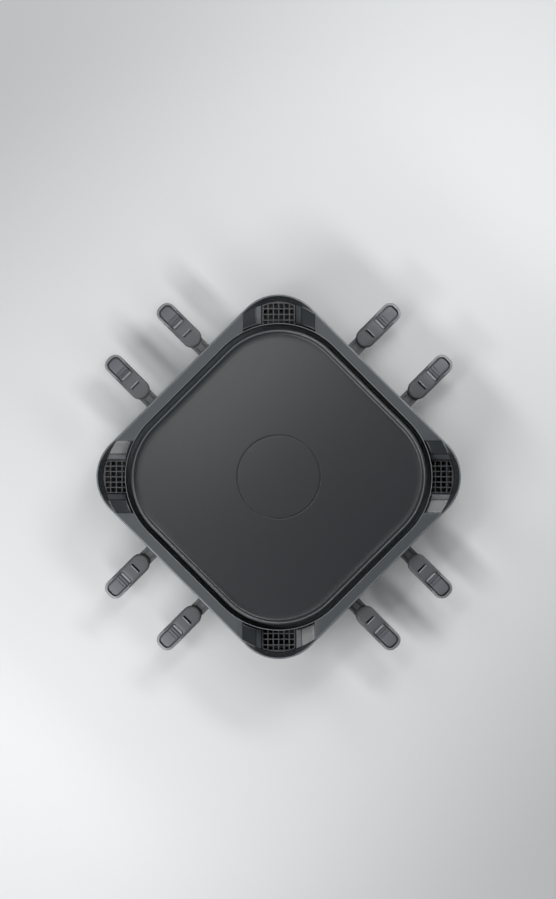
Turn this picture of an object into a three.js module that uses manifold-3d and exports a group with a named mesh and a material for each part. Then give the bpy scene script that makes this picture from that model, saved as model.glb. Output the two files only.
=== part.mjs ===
// Square tabletop raclette grill. A base carries four corner posts and a housing frame, a cast
// plate lifts off the frame, a tubular heating element hangs under the plate, and eight pans
// slide out from under the frame, two on each side.
// Millimetres, +Z up. The origin lies on the table under the centre, and the front is -Y.

import * as THREE from "three";
import { mergeVertices } from "three/addons/utils/BufferGeometryUtils.js";
import Module from "manifold-3d";

const wasm = await Module();
wasm.setup();

// Angles and counts
const quarterTurn = Math.PI / 2;
const eighthTurn = Math.PI / 4;
const sides = 4;
const cornerSteps = 8;
const panCornerSteps = 3;
const roundSteps = 20;
const smallRoundSteps = 10;
const grooveSteps = 48;

// Fits
const fitGap = 0.3;
const overrun = 1;
const weldTolerance = 0.0001;

// Housing frame, seen from above
const frameHalf = 185;
const frameCornerRadius = 60;
const frameBand = 15;
const wellCornerRadius = 101;
const frameWall = 2.5;
const wellWall = 1.6;
const frameEdge = 1.6;
const wellEdge = 0.6;
const flangeWidth = 13;
const flangeThickness = 2;

// Heights, from the table up
const footHeight = 6;
const baseHeight = 40;
const deckThickness = 1.2;
const panHeight = 16;
const panHeadroom = 10;
const frameHeight = 34;
const wiringSpace = 3.5;
const plateHeight = 22.8;

// Base shell
const baseInset = 13;
const baseWall = 2.5;
const baseFootChamfer = 3;

// Bottom cover with its vents
const coverThickness = 1.5;
const coverLip = 6;
const ventCount = 6;
const ventLength = 46;
const ventWidth = 3.2;
const ventPitch = 11;
const ventReach = 62;

// Rubber feet
const footRadius = 12;
const footTaper = 1.5;
const footStemRadius = 3;
const footStemAbove = 3;
const footInset = 42;

// Cover screws and their bosses
const screwHeadRadius = 3.6;
const screwHeadHeight = 2;
const screwShankRadius = 1.6;
const screwLength = 12;
const bossRadius = 4.5;
const screwInset = 60;

// Corner posts
const postLength = 75.05;
const deckClearance = 2.5;
const postInnerInset = 11;
const postWall = 2.5;

// Corner pockets of the frame and the grilles in their floors
const pocketHalfWidth = 47;
const facetBreakHalf = 29.5;
const pocketFloorHalf = 21.5;
const facetBreakDepth = 6;
const pocketDepth = 14;
const pocketRim = 1.5;
const pocketSlopeFoot = 8.5;
const pocketFloorWall = 2;
const pocketLedge = 1.8;
const slotWidth = 3.2;
const slotSetback = 2.5;
const grilleThickness = 2.2;
const grilleBar = 2.2;
const grilleBorder = 0.9;
const grilleColumns = 6;
const grilleRows = 4;
const grilleRowPitch = 7.4;
const grilleFirstBar = 5.3;

// Cast grill plate
const plateGap = 6;
const plateThickness = 6;
const dishDepth = 5;
const rimWidth = 14;
const skirtThickness = 4;
const skirtDraft = 0.6;
const circleRadius = 54;
const circleWidth = 1.4;
const circleDepth = 0.6;
// Rim section: share of the rim width inwards, share of the dish depth down
const rimShares = [
  [0, 0.62],
  [0.05, 0.18],
  [0.14, 0],
  [0.25, 0.16],
  [0.46, 0.7],
  [0.7, 0.93],
  [1, 1],
];

// Heat shield and heating element
const sheetThickness = 0.8;
const shieldGap = 0.5;
const elementRadius = 3.25;
const elementSides = 8;
const loopSteps = 6;
const tightSteps = 3;
const outerLoopInset = 28;
const innerLoopInset = 68;
const tightRadius = 10;
const terminalSpacing = 20;
const terminalOut = 10;
const terminalClearance = 1;
const elementClearance = 2.4;
const bracketWidth = 10;
const bracketThickness = 1.5;
const bracketRise = 7;
const bracketLift = 1;
const bracketShare = 0.8;

// Pans
const panClearance = 5.6;
const panSpacing = 8.7;
const panEndSpacing = 3.65;
const panSetback = 12;
const panWall = 1.2;
const panRimWidth = 1.6;
const panRimThickness = 1.4;
const panDraft = 3;
const panCornerRadius = 16;
const tangWidth = 19;
const tangThickness = 3;
const tangDrop = 1.2;
const tangDepth = 17;
const tangRibWidth = 7;
const tangRibHeight = 1.1;

// Grips and their pads
const neckLength = 11;
const gripLength = 72.5;
const gripHalfWidth = 13;
const gripThickness = 15;
const gripCornerRadius = 3.6;
const tipFlat = 1.5;
const tipDrop = 4.5;
const tipLift = 3;
const tipCurve = 20;
const gripSectionSteps = 2;
const gripEndSteps = 4;
const gripTipSteps = 3;
const markFromEnd = 19.6;
const markLength = 13.8;
const markWidth = 2;
const markDepth = 3;
const recessFromTip = 4.6;
const recessLength = 33;
const recessWall = 2.8;
const recessDepth = 2.6;
const recessRadius = 6;
const padGap = 1.5;
const padHeight = 1.9;
const ridgeCount = 3;
const ridgePitch = 4.3;
const ridgeWidth = 1.6;
const ridgeHeight = 0.7;
const ridgeSetback = 1.6;
const leadRidgeHeight = 1.3;

// Thermostat, knob and pilot lamp on the front wall
const knobRadius = 15;
const knobDepth = 9;
const knobDraft = 1.2;
const knobGap = 0.8;
const pointerWidth = 2;
const pointerHeight = 0.8;
const spindleRadius = 3;
const spindleReach = 5;
const thermostatWidth = 32;
const thermostatInset = 7;
const thermostatDepth = 18;
const thermostatNeckRadius = 5;
const lampOffset = 27;
const lampRadius = 3.2;
const lampBezel = 1;
const lampLength = 14;
const lampFlange = 1.2;

// Power inlet on the rear wall
const inletWidth = 27;
const inletHeight = 20;
const inletDepth = 22;
const inletWall = 1.8;
const inletFlange = 3;
const inletFlangeThickness = 2;
const inletFloor = 3;
const pinWidth = 2;
const pinHeight = 4;
const pinLength = 11;
const pinSpacing = 7;
const pinRise = 2;
const pinTail = 5;

// Thermal cut-out and wiring
const cutoutRadius = 8;
const cutoutHeight = 9;
const leadRadius = 1.2;
const leadSides = 5;
const leadSteps = 36;
const leadHoleRadius = 7;
const leadPitch = 5;
const leadEndRun = 8;

// Levels worked out from the heights
const baseBottom = footHeight;
const baseTop = baseBottom + baseHeight;
const deckBottom = baseTop + fitGap;
const deckTop = deckBottom + deckThickness;
const panBottom = deckTop + fitGap;
const panTop = panBottom + panHeight;
const frameBottom = panTop + panHeadroom;
const frameTop = frameBottom + frameHeight;
const pocketFloor = frameTop - pocketDepth;
const grilleBottom = pocketFloor - grilleThickness;
const ledgeTop = grilleBottom - fitGap;
const flangeTop = ledgeTop - pocketFloorWall - wiringSpace;
const flangeBottom = flangeTop - flangeThickness;
const sheetBottom = flangeTop + fitGap;
const sheetTop = sheetBottom + sheetThickness;
const plateBottom = sheetTop + fitGap;
const plateTop = plateBottom + plateHeight;
const plateSurface = plateTop - dishDepth;
const plateUnderside = plateSurface - plateThickness;
const elementLevel = flangeBottom - elementClearance - elementRadius;
const bracketBottom = elementLevel - elementRadius - fitGap - bracketThickness;
const shieldBottom = bracketBottom - bracketLift;
const controlLevel = baseBottom + baseHeight / 2;

// Outlines worked out from the frame
const wellHalf = frameHalf - frameBand;
const plateHalf = wellHalf - plateGap;
const plateCornerRadius = wellCornerRadius - plateGap;
const baseHalf = frameHalf - baseInset;
const baseCornerRadius = frameCornerRadius - baseInset;
const shieldInset = flangeWidth + shieldGap;
const postEdge = baseHalf - postLength;
const panReach = postEdge - panClearance;
const panWidth = panReach - panSpacing / 2;
const panPitch = panWidth + panSpacing;
const panLength = frameHalf - panSetback - panReach - panEndSpacing;
const gripStart = frameHalf + neckLength;
const tipRadius = gripHalfWidth - tipFlat;
const recessHalfWidth = gripHalfWidth - recessWall;
const gripTip = gripStart + gripLength;
const tangTop = panTop - tangDrop;
const gripMiddle = tangTop - tangThickness / 2;
const gripTop = gripMiddle + gripThickness / 2;
const gripBottom = gripMiddle - gripThickness / 2;
const recessEnd = gripTip - recessFromTip;
const recessStart = recessEnd - recessLength;

const grill = new THREE.Group();

// Finishes: colour, roughness and metalness of each kind of surface
const finishes = {
  housing: [0x5d5f63, 0.48, 0.0],
  baseShell: [0x3a3b3e, 0.55, 0.0],
  grille: [0x494b4e, 0.5, 0.1],
  plate: [0x3b3d41, 0.42, 0.2],
  pan: [0x2f3032, 0.45, 0.2],
  grip: [0x616367, 0.55, 0.0],
  pad: [0x727478, 0.6, 0.0],
  rubber: [0x1d1d1e, 0.85, 0.0],
  sheetSteel: [0x9a9c9e, 0.35, 0.9],
  element: [0x55504b, 0.45, 0.8],
  screw: [0x8e9092, 0.35, 0.9],
  knob: [0x4a4c4f, 0.5, 0.0],
  switchgear: [0xb9b4a6, 0.6, 0.0],
  brass: [0xb08d4a, 0.35, 0.9],
  lamp: [0xd8601c, 0.2, 0.0],
  blackPlastic: [0x232324, 0.5, 0.0],
  leadLive: [0x6b3a22, 0.6, 0.0],
  leadNeutral: [0x28508c, 0.6, 0.0],
};

/** A closed mesh as a manifold solid with its faces pointing out. */
function solid(geometry) {
  const bare = new THREE.BufferGeometry();
  bare.setAttribute("position", geometry.getAttribute("position"));
  bare.setIndex(geometry.getIndex());
  const merged = mergeVertices(bare, weldTolerance);
  const positions = new Float32Array(merged.getAttribute("position").array);
  const corners = new Uint32Array(merged.getIndex().array);
  if (signedVolume(positions, corners) < 0) {
    for (let i = 0; i < corners.length; i += 3) {
      [corners[i], corners[i + 1]] = [corners[i + 1], corners[i]];
    }
  }
  return new wasm.Manifold(
    new wasm.Mesh({ numProp: 3, vertProperties: positions, triVerts: corners }),
  );
}

/** Six times the volume of a triangle mesh, negative if its faces point in. */
function signedVolume(positions, corners) {
  const [a, b, c] = [new THREE.Vector3(), new THREE.Vector3(), new THREE.Vector3()];
  let sum = 0;
  for (let i = 0; i < corners.length; i += 3) {
    a.fromArray(positions, corners[i] * 3);
    b.fromArray(positions, corners[i + 1] * 3);
    c.fromArray(positions, corners[i + 2] * 3);
    sum += a.dot(b.cross(c));
  }
  return sum;
}

/** A manifold solid as a three.js geometry. */
function geometryOf(body) {
  const { vertProperties, triVerts } = body.getMesh();
  const geometry = new THREE.BufferGeometry();
  geometry.setAttribute("position", new THREE.BufferAttribute(vertProperties, 3));
  geometry.setIndex(new THREE.BufferAttribute(triVerts, 1));
  geometry.computeVertexNormals();
  return geometry;
}

/** Adds a named mesh with its own material to a parent. */
function addNode(name, body, finish, parent = grill) {
  const [color, roughness, metalness] = finishes[finish];
  const material = new THREE.MeshStandardMaterial({ color, roughness, metalness });
  const mesh = new THREE.Mesh(geometryOf(body), material);
  mesh.name = name;
  parent.add(mesh);
  return mesh;
}

/** A group turned about Z by a number of quarter turns from a start angle. */
function turnedGroup(turns, start = 0) {
  const group = new THREE.Group();
  group.rotation.z = start + turns * quarterTurn;
  grill.add(group);
  return group;
}

/** Points of a rounded rectangle at height z, counter-clockwise from +X. */
function rectangleRing({ x = 0, y = 0, halfX, halfY, radius, z }, steps) {
  const points = [];
  for (let corner = 0; corner < sides; corner += 1) {
    const signX = corner === 0 || corner === 3 ? 1 : -1;
    const signY = corner < 2 ? 1 : -1;
    for (let step = 0; step <= steps; step += 1) {
      const angle = quarterTurn * (corner + step / steps);
      points.push(
        new THREE.Vector3(
          x + signX * (halfX - radius) + radius * Math.cos(angle),
          y + signY * (halfY - radius) + radius * Math.sin(angle),
          z,
        ),
      );
    }
  }
  return points;
}

/** Points of a rounded square about the origin. */
function squareRing(half, radius, z) {
  return rectangleRing({ halfX: half, halfY: half, radius, z }, cornerSteps);
}

/** A ring of the frame's outer family: its outline moved inwards. */
function outerRing(inset, z) {
  return squareRing(frameHalf - inset, frameCornerRadius - inset, z);
}

/** A ring of the frame's well family: the well's outline moved inwards. */
function wellRing(inset, z) {
  return squareRing(wellHalf - inset, wellCornerRadius - inset, z);
}

/** A ring of the base's family: its outline moved inwards. */
function baseRing(inset, z) {
  return squareRing(baseHalf - inset, baseCornerRadius - inset, z);
}

/** A skin through rings of equally many points, capped at its ends or closed on itself. */
function loft(rings, closesOnItself = false) {
  const count = rings[0].length;
  const indices = [];
  const bands = closesOnItself ? rings.length : rings.length - 1;
  for (let band = 0; band < bands; band += 1) {
    const lower = band * count;
    const upper = ((band + 1) % rings.length) * count;
    for (let i = 0; i < count; i += 1) {
      const next = (i + 1) % count;
      indices.push(lower + i, lower + next, upper + next);
      indices.push(lower + i, upper + next, upper + i);
    }
  }
  if (!closesOnItself) {
    const last = (rings.length - 1) * count;
    for (let i = 1; i < count - 1; i += 1) {
      indices.push(0, i + 1, i);
      indices.push(last, last + i, last + i + 1);
    }
  }
  const positions = rings.flat().flatMap((point) => point.toArray());
  const geometry = new THREE.BufferGeometry();
  geometry.setAttribute("position", new THREE.Float32BufferAttribute(positions, 3));
  geometry.setIndex(indices);
  return geometry;
}

/** A prism between two heights on one ring family. */
function prism(family, inset, low, high) {
  return solid(loft([family(inset, low), family(inset, high)]));
}

/** A box between two corners. */
function block([lowX, lowY, lowZ], [highX, highY, highZ]) {
  const geometry = new THREE.BoxGeometry(highX - lowX, highY - lowY, highZ - lowZ);
  geometry.translate((lowX + highX) / 2, (lowY + highY) / 2, (lowZ + highZ) / 2);
  return solid(geometry);
}

/** A round bar along Z between two heights, or a taper where the radii differ. */
function roundBar(radius, low, high, { x = 0, y = 0, topRadius = radius, steps = roundSteps } = {}) {
  const geometry = new THREE.CylinderGeometry(topRadius, radius, high - low, steps);
  geometry.rotateX(quarterTurn);
  geometry.translate(x, y, (low + high) / 2);
  return solid(geometry);
}

/** A round bar along Y between two places, at a point of the XZ plane. */
function barAlongY(radius, low, high, { x, z, highRadius = radius, steps = roundSteps }) {
  const geometry = new THREE.CylinderGeometry(highRadius, radius, high - low, steps);
  geometry.translate(x, (low + high) / 2, z);
  return solid(geometry);
}

/** An outline of (y, z) points extruded along X. */
function sectionAlongX(points, low, high) {
  const shape = new THREE.Shape(points.map(([y, z]) => new THREE.Vector2(y, z)));
  const geometry = new THREE.ExtrudeGeometry(shape, { depth: high - low, bevelEnabled: false });
  const basis = new THREE.Matrix4().makeBasis(
    new THREE.Vector3(0, 1, 0),
    new THREE.Vector3(0, 0, 1),
    new THREE.Vector3(1, 0, 0),
  );
  geometry.applyMatrix4(basis);
  geometry.translate(low, 0, 0);
  return solid(geometry);
}

/** A rounded plate in the XY plane between two heights. */
function roundedPlate(rectangle, low, high, steps) {
  const rings = [low, high].map((z) => rectangleRing({ ...rectangle, z }, steps));
  return solid(loft(rings));
}

// Corner pockets, worked out in a corner's own frame: X runs out along the diagonal, Y across it

/** The valley of a pocket across its corner, from one ramp to the other. */
function valleySection() {
  const high = frameTop + overrun;
  const half = [
    [pocketHalfWidth, high],
    [pocketHalfWidth, frameTop],
    [facetBreakHalf, frameTop - facetBreakDepth],
    [pocketFloorHalf, pocketFloor],
  ];
  const mirrored = half.map(([y, z]) => [-y, z]).reverse();
  return [...half, ...mirrored];
}

/** The wall under a pocket, before the pocket is cut into it. */
function linerSection() {
  const high = frameTop - frameWall / 2;
  const half = [
    [pocketHalfWidth + pocketFloorWall, high],
    [facetBreakHalf + pocketFloorWall, frameTop - facetBreakDepth - pocketFloorWall],
    [pocketFloorHalf + pocketFloorWall, ledgeTop - pocketFloorWall],
  ];
  const mirrored = half.map(([y, z]) => [-y, z]).reverse();
  return [...half, ...mirrored];
}

const cornerReach = frameHalf * Math.SQRT2;
const wellReach = (wellHalf - wellCornerRadius) * Math.SQRT2 + wellCornerRadius;
const pocketInnerX = wellReach - wellCornerRadius / 2;

function pocketSlope() {
  return solid(
    loft([
      outerRing(pocketSlopeFoot, pocketFloor),
      outerRing(pocketRim, frameTop),
      outerRing(pocketRim, frameTop + overrun),
    ]),
  );
}

/** A block across a corner, between two distances from its diagonal, in the corner's frame. */
function cornerBlock(halfWidth, low, high) {
  return block([pocketInnerX, -halfWidth, low], [cornerReach, halfWidth, high]);
}

function upperFrame() {
  const shell = solid(
    loft(
      [
        outerRing(0, frameBottom),
        outerRing(0, frameTop - frameEdge),
        outerRing(frameEdge * 0.3, frameTop - frameEdge * 0.3),
        outerRing(frameEdge, frameTop),
        wellRing(-wellEdge, frameTop),
        wellRing(0, frameTop - wellEdge),
        wellRing(0, flangeTop),
        wellRing(flangeWidth, flangeTop),
        wellRing(flangeWidth, flangeBottom),
        wellRing(-wellWall, flangeBottom),
        wellRing(-wellWall, frameTop - frameWall),
        outerRing(frameWall, frameTop - frameWall),
        outerRing(frameWall, frameBottom),
      ],
      true,
    ),
  );
  const high = frameTop + overrun;
  const linerLow = ledgeTop - pocketFloorWall;
  const wellSide = prism(wellRing, -wellWall, linerLow - overrun, high);
  const linerSpace = prism(outerRing, frameWall / 2, linerLow, frameTop - frameWall / 2);
  const slope = pocketSlope();
  const floorSpace = prism(outerRing, pocketSlopeFoot, linerLow - overrun, pocketFloor + overrun);
  const ledgeSpace = prism(outerRing, pocketSlopeFoot + pocketLedge, linerLow - overrun, ledgeTop + overrun);
  const slotRing = prism(wellRing, -wellWall - slotWidth, linerLow - overrun, high);
  const wellKeep = prism(wellRing, -wellWall / 2, linerLow - overrun, high);
  let frame = shell;
  for (const angle of [45, 135, 225, 315]) {
    const turn = (body) => body.rotate([0, 0, angle]);
    const walls = turn(sectionAlongX(linerSection(), pocketInnerX, cornerReach));
    frame = frame.add(walls.intersect(linerSpace).subtract(wellKeep));
    const valley = turn(sectionAlongX(valleySection(), pocketInnerX, cornerReach));
    const floorHole = turn(cornerBlock(pocketFloorHalf, ledgeTop, pocketFloor + overrun));
    const ledgeHole = turn(cornerBlock(pocketFloorHalf - pocketLedge, linerLow - overrun, ledgeTop + overrun));
    const slotOuter = turn(cornerBlock(pocketHalfWidth, linerLow - overrun, high));
    const slotInner = turn(cornerBlock(pocketFloorHalf + slotSetback, linerLow - overrun, high));
    frame = frame.subtract(valley.intersect(slope).subtract(wellSide));
    frame = frame.subtract(floorHole.intersect(floorSpace).subtract(wellSide));
    frame = frame.subtract(ledgeHole.intersect(ledgeSpace).subtract(wellSide));
    frame = frame.subtract(slotOuter.subtract(slotInner).intersect(slotRing).subtract(wellSide));
  }
  return frame;
}
addNode("upper_frame", upperFrame(), "housing");

function cornerGrille() {
  const lens = prism(outerRing, pocketSlopeFoot + fitGap, grilleBottom, pocketFloor);
  const cell = prism(outerRing, pocketSlopeFoot + fitGap + grilleBorder, grilleBottom - overrun, frameTop);
  const wellSide = prism(wellRing, -wellWall - fitGap, grilleBottom - overrun, frameTop);
  const wellBorder = prism(wellRing, -wellWall - fitGap - grilleBorder, grilleBottom - overrun, frameTop);
  const side = (body) => body.rotate([0, 0, -45]);
  const width = cornerBlock(pocketFloorHalf - fitGap, grilleBottom - overrun, frameTop);
  let grille = side(lens.subtract(wellSide)).intersect(width);
  const cells = side(cell.subtract(wellBorder));
  const inside = 2 * (pocketFloorHalf - fitGap - grilleBorder);
  const columnPitch = (inside + grilleBar) / grilleColumns;
  const halfAcross = (columnPitch - grilleBar) / 2;
  const halfOut = (grilleRowPitch - grilleBar) / 2;
  for (let column = 0; column < grilleColumns; column += 1) {
    const y = (column - (grilleColumns - 1) / 2) * columnPitch;
    for (let row = 0; row < grilleRows; row += 1) {
      const x = wellReach + grilleFirstBar + (row - 1 / 2) * grilleRowPitch;
      const hole = block(
        [x - halfOut, y - halfAcross, grilleBottom - overrun],
        [x + halfOut, y + halfAcross, frameTop],
      );
      grille = grille.subtract(hole.intersect(cells));
    }
  }
  return grille;
}

for (let corner = 0; corner < sides; corner += 1) {
  addNode(`corner_grille_${corner + 1}`, cornerGrille(), "grille", turnedGroup(corner, eighthTurn));
}

// Grill plate

function plateRing(inset, z) {
  return squareRing(plateHalf - inset, plateCornerRadius - inset, z);
}

function grillPlate() {
  const rim = rimShares.map(([inward, down]) => plateRing(inward * rimWidth, plateTop - down * dishDepth));
  const body = solid(
    loft([
      plateRing(skirtThickness + skirtDraft, plateUnderside),
      plateRing(skirtThickness, plateBottom),
      plateRing(skirtDraft, plateBottom),
      ...rim,
    ]),
  );
  const low = plateSurface - circleDepth;
  const high = plateSurface + overrun;
  const inside = circleRadius - circleWidth / 2;
  const outside = circleRadius + circleWidth / 2;
  const section = [
    [inside, high],
    [inside, plateSurface],
    [circleRadius, low],
    [outside, plateSurface],
    [outside, high],
    [inside, high],
  ];
  const points = section.map(([radius, z]) => new THREE.Vector2(radius, z));
  const groove = new THREE.LatheGeometry(points, grooveSteps);
  groove.rotateX(quarterTurn);
  return body.subtract(solid(groove));
}
addNode("grill_plate", grillPlate(), "plate");

// Heat shield, heating element and its brackets

function heatShield() {
  const shield = solid(
    loft(
      [
        wellRing(shieldInset + sheetThickness, shieldBottom),
        wellRing(shieldInset, shieldBottom),
        wellRing(shieldInset, sheetBottom),
        wellRing(plateGap, sheetBottom),
        wellRing(plateGap, sheetTop),
        wellRing(shieldInset + sheetThickness, sheetTop),
      ],
      true,
    ),
  );
  const wallLow = wellHalf - shieldInset - sheetThickness - overrun;
  const wallHigh = wellHalf - shieldInset + overrun;
  const holeRadius = elementRadius + terminalClearance;
  const holeAt = (x) =>
    barAlongY(holeRadius, wallLow, wallHigh, { x, z: elementLevel, steps: smallRoundSteps });
  return shield.subtract(holeAt(terminalSpacing)).subtract(holeAt(0));
}
addNode("heat_shield", heatShield(), "sheetSteel");

/** Points of a bend about a centre, from one angle to another, given in quarter turns. */
function bend(x, y, radius, from, to) {
  const points = [];
  const steps = radius > tightRadius ? loopSteps : tightSteps;
  for (let step = 0; step <= steps; step += 1) {
    const angle = quarterTurn * (from + ((to - from) * step) / steps);
    points.push(new THREE.Vector3(x + radius * Math.cos(angle), y + radius * Math.sin(angle), elementLevel));
  }
  return points;
}

/** The element's centre line: in at the rear, round the outer loop, round the inner one, and out. */
function elementPath() {
  const outer = wellHalf - outerLoopInset;
  const inner = wellHalf - innerLoopInset;
  const straight = wellHalf - wellCornerRadius;
  const outerRadius = outer - straight;
  const innerRadius = inner - straight;
  const end = wellHalf - shieldInset + terminalOut;
  const start = terminalSpacing;
  const turnIn = -terminalSpacing;
  return [
    new THREE.Vector3(start, end, elementLevel),
    ...bend(start + tightRadius, outer + tightRadius, tightRadius, 2, 3),
    ...bend(straight, straight, outerRadius, 1, 0),
    ...bend(straight, -straight, outerRadius, 0, -1),
    ...bend(-straight, -straight, outerRadius, -1, -2),
    ...bend(-straight, straight, outerRadius, -2, -3),
    ...bend(turnIn - tightRadius, outer - tightRadius, tightRadius, 1, 0),
    ...bend(turnIn - tightRadius, inner + tightRadius, tightRadius, 0, -1),
    ...bend(-straight, straight, innerRadius, 1, 2),
    ...bend(-straight, -straight, innerRadius, 2, 3),
    ...bend(straight, -straight, innerRadius, -1, 0),
    ...bend(straight, straight, innerRadius, 0, 1),
    ...bend(tightRadius, inner + tightRadius, tightRadius, -1, -2),
    new THREE.Vector3(0, end, elementLevel),
  ];
}

/** A round tube through points that lie in one level, mitred at each of them. */
function levelTube(points, radius, steps) {
  const rings = points.map((point, i) => {
    const before = points[Math.max(i - 1, 0)];
    const after = points[Math.min(i + 1, points.length - 1)];
    const along = new THREE.Vector3().subVectors(after, before).normalize();
    const across = new THREE.Vector3(-along.y, along.x, 0);
    const ring = [];
    for (let step = 0; step < steps; step += 1) {
      const angle = (2 * Math.PI * (step + 1 / 2)) / steps;
      const offset = across.clone().multiplyScalar(radius * Math.cos(angle));
      ring.push(point.clone().add(offset).add(new THREE.Vector3(0, 0, radius * Math.sin(angle))));
    }
    return ring;
  });
  return solid(loft(rings));
}
addNode("heating_element", levelTube(elementPath(), elementRadius, elementSides), "element");

function elementBracket() {
  const reach = wellHalf - shieldInset - sheetThickness - fitGap;
  const half = bracketWidth / 2;
  const strip = block(
    [-half, -reach, bracketBottom],
    [half, reach, bracketBottom + bracketThickness],
  );
  const high = bracketBottom + bracketRise;
  const front = block([-half, -reach, bracketBottom], [half, -reach + bracketThickness, high]);
  const rear = block([-half, reach - bracketThickness, bracketBottom], [half, reach, high]);
  return strip.add(front).add(rear);
}

[1, -1].forEach((sign, i) => {
  const bracket = addNode(`element_bracket_${i + 1}`, elementBracket(), "sheetSteel");
  bracket.position.x = sign * bracketShare * (wellHalf - wellCornerRadius);
});

// Base: shell, deck, cover, screws and feet

const screwReach = baseHalf - screwInset;
const screwPlaces = [
  [screwReach, 0],
  [0, screwReach],
  [-screwReach, 0],
  [0, -screwReach],
];
const coverBottom = baseBottom;
const coverTop = coverBottom + coverThickness;
const bossBottom = coverTop + fitGap;
const leadHole = cornerPoint(leadHoleDistance());

/** How far out along the diagonal the leads rise, in the middle of a corner post. */
function leadHoleDistance() {
  const inside = (wellHalf - wellCornerRadius) * Math.SQRT2 + wellCornerRadius + wellWall;
  const outside = (baseHalf - baseCornerRadius) * Math.SQRT2 + baseCornerRadius - postWall;
  return (inside + outside) / 2;
}

/** A point on the diagonal of the rear right corner. */
function cornerPoint(distance) {
  return new THREE.Vector2(distance * Math.SQRT1_2, distance * Math.SQRT1_2);
}

function baseShell() {
  const shell = solid(
    loft([
      baseRing(0, baseTop),
      baseRing(0, baseBottom + baseFootChamfer),
      baseRing(baseFootChamfer, baseBottom),
      baseRing(coverLip - baseWall / 2, baseBottom),
      baseRing(baseWall, baseBottom + coverLip),
      baseRing(baseWall, baseTop - baseWall),
    ]),
  );
  let body = shell;
  for (const [x, y] of screwPlaces) {
    const boss = roundBar(bossRadius, bossBottom, baseTop - baseWall / 2, { x, y, steps: smallRoundSteps });
    const holeTop = coverBottom + screwLength + fitGap;
    const hole = roundBar(screwShankRadius + fitGap, coverBottom, holeTop, { x, y, steps: smallRoundSteps });
    body = body.add(boss).subtract(hole);
  }
  const wallIn = baseHalf - baseWall - overrun;
  const wallOut = baseHalf + overrun;
  const frontHole = (radius, x) =>
    barAlongY(radius, -wallOut, -wallIn, { x, z: controlLevel, steps: smallRoundSteps });
  const inletHole = block(
    [-inletWidth / 2 - fitGap, wallIn, controlLevel - inletHeight / 2 - fitGap],
    [inletWidth / 2 + fitGap, wallOut, controlLevel + inletHeight / 2 + fitGap],
  );
  const wireHole = roundBar(leadHoleRadius, baseTop - baseWall - overrun, baseTop + overrun, {
    x: leadHole.x,
    y: leadHole.y,
    steps: smallRoundSteps,
  });
  return body
    .subtract(frontHole(thermostatNeckRadius + fitGap, 0))
    .subtract(frontHole(lampRadius + fitGap, lampOffset))
    .subtract(inletHole)
    .subtract(wireHole);
}
addNode("base_shell", baseShell(), "baseShell");

function panDeck() {
  const arm = postEdge - deckClearance;
  const reach = baseHalf - deckClearance;
  const quarter = [
    [reach, -arm],
    [reach, arm],
    [arm, arm],
  ];
  const outline = [];
  for (let turn = 0; turn < sides; turn += 1) {
    for (const [x, y] of quarter) {
      outline.push(new THREE.Vector2(x, y).rotateAround(new THREE.Vector2(), turn * quarterTurn));
    }
  }
  const options = { depth: deckThickness, bevelEnabled: false };
  const geometry = new THREE.ExtrudeGeometry(new THREE.Shape(outline), options);
  geometry.translate(0, 0, deckBottom);
  return solid(geometry);
}
addNode("pan_deck", panDeck(), "pan");

function bottomCover() {
  let cover = prism(baseRing, coverLip, coverBottom, coverTop);
  for (const [x, y] of screwPlaces) {
    const hole = { x, y, steps: smallRoundSteps };
    cover = cover.subtract(roundBar(screwShankRadius + fitGap, coverBottom - overrun, coverTop + overrun, hole));
  }
  for (const [x, y] of footPlaces()) {
    const hole = { x, y, steps: smallRoundSteps };
    cover = cover.subtract(roundBar(footStemRadius + fitGap, coverBottom - overrun, coverTop + overrun, hole));
  }
  for (const sign of [1, -1]) {
    for (let vent = 0; vent < ventCount; vent += 1) {
      const x = (vent - (ventCount - 1) / 2) * ventPitch;
      const y = sign * ventReach;
      cover = cover.subtract(
        block(
          [x - ventWidth / 2, y - ventLength / 2, coverBottom - overrun],
          [x + ventWidth / 2, y + ventLength / 2, coverTop + overrun],
        ),
      );
    }
  }
  return cover;
}

/** The four feet, as points of the plan. */
function footPlaces() {
  const reach = baseHalf - footInset;
  return [
    [reach, reach],
    [-reach, reach],
    [-reach, -reach],
    [reach, -reach],
  ];
}
addNode("bottom_cover", bottomCover(), "baseShell");

function rubberFoot() {
  const top = baseBottom - fitGap;
  const pad = roundBar(footRadius - footTaper, 0, top, { topRadius: footRadius });
  return pad.add(roundBar(footStemRadius, top - overrun, coverTop + footStemAbove, { steps: smallRoundSteps }));
}

function coverScrew() {
  const seat = coverBottom - fitGap;
  const head = roundBar(screwHeadRadius, seat - screwHeadHeight, seat, { steps: smallRoundSteps });
  const shank = roundBar(screwShankRadius, seat - overrun, coverBottom + screwLength, { steps: smallRoundSteps });
  return head.add(shank);
}

footPlaces().forEach(([x, y], i) => {
  addNode(`foot_${i + 1}`, rubberFoot(), "rubber").position.set(x, y, 0);
});
screwPlaces.forEach(([x, y], i) => {
  addNode(`cover_screw_${i + 1}`, coverScrew(), "screw").position.set(x, y, 0);
});

// Corner posts, hollow, between the base and the frame's flange

function cornerPost() {
  const low = baseTop + fitGap;
  const high = flangeBottom - fitGap;
  const corner = (edge, bottom, top) =>
    block([edge, edge, bottom], [baseHalf + overrun, baseHalf + overrun, top]);
  const outside = prism(baseRing, 0, low, high).intersect(corner(postEdge, low - overrun, high + overrun));
  const inside = prism(baseRing, postWall, low - overrun, high + overrun).intersect(
    corner(postEdge + postWall, low - overrun, high + overrun),
  );
  const innerFace = prism(wellRing, postInnerInset, low - overrun, high + overrun);
  const innerWall = prism(wellRing, postInnerInset - postWall, low - overrun * 2, high + overrun * 2);
  return outside.subtract(innerFace).subtract(inside.subtract(innerWall));
}

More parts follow.
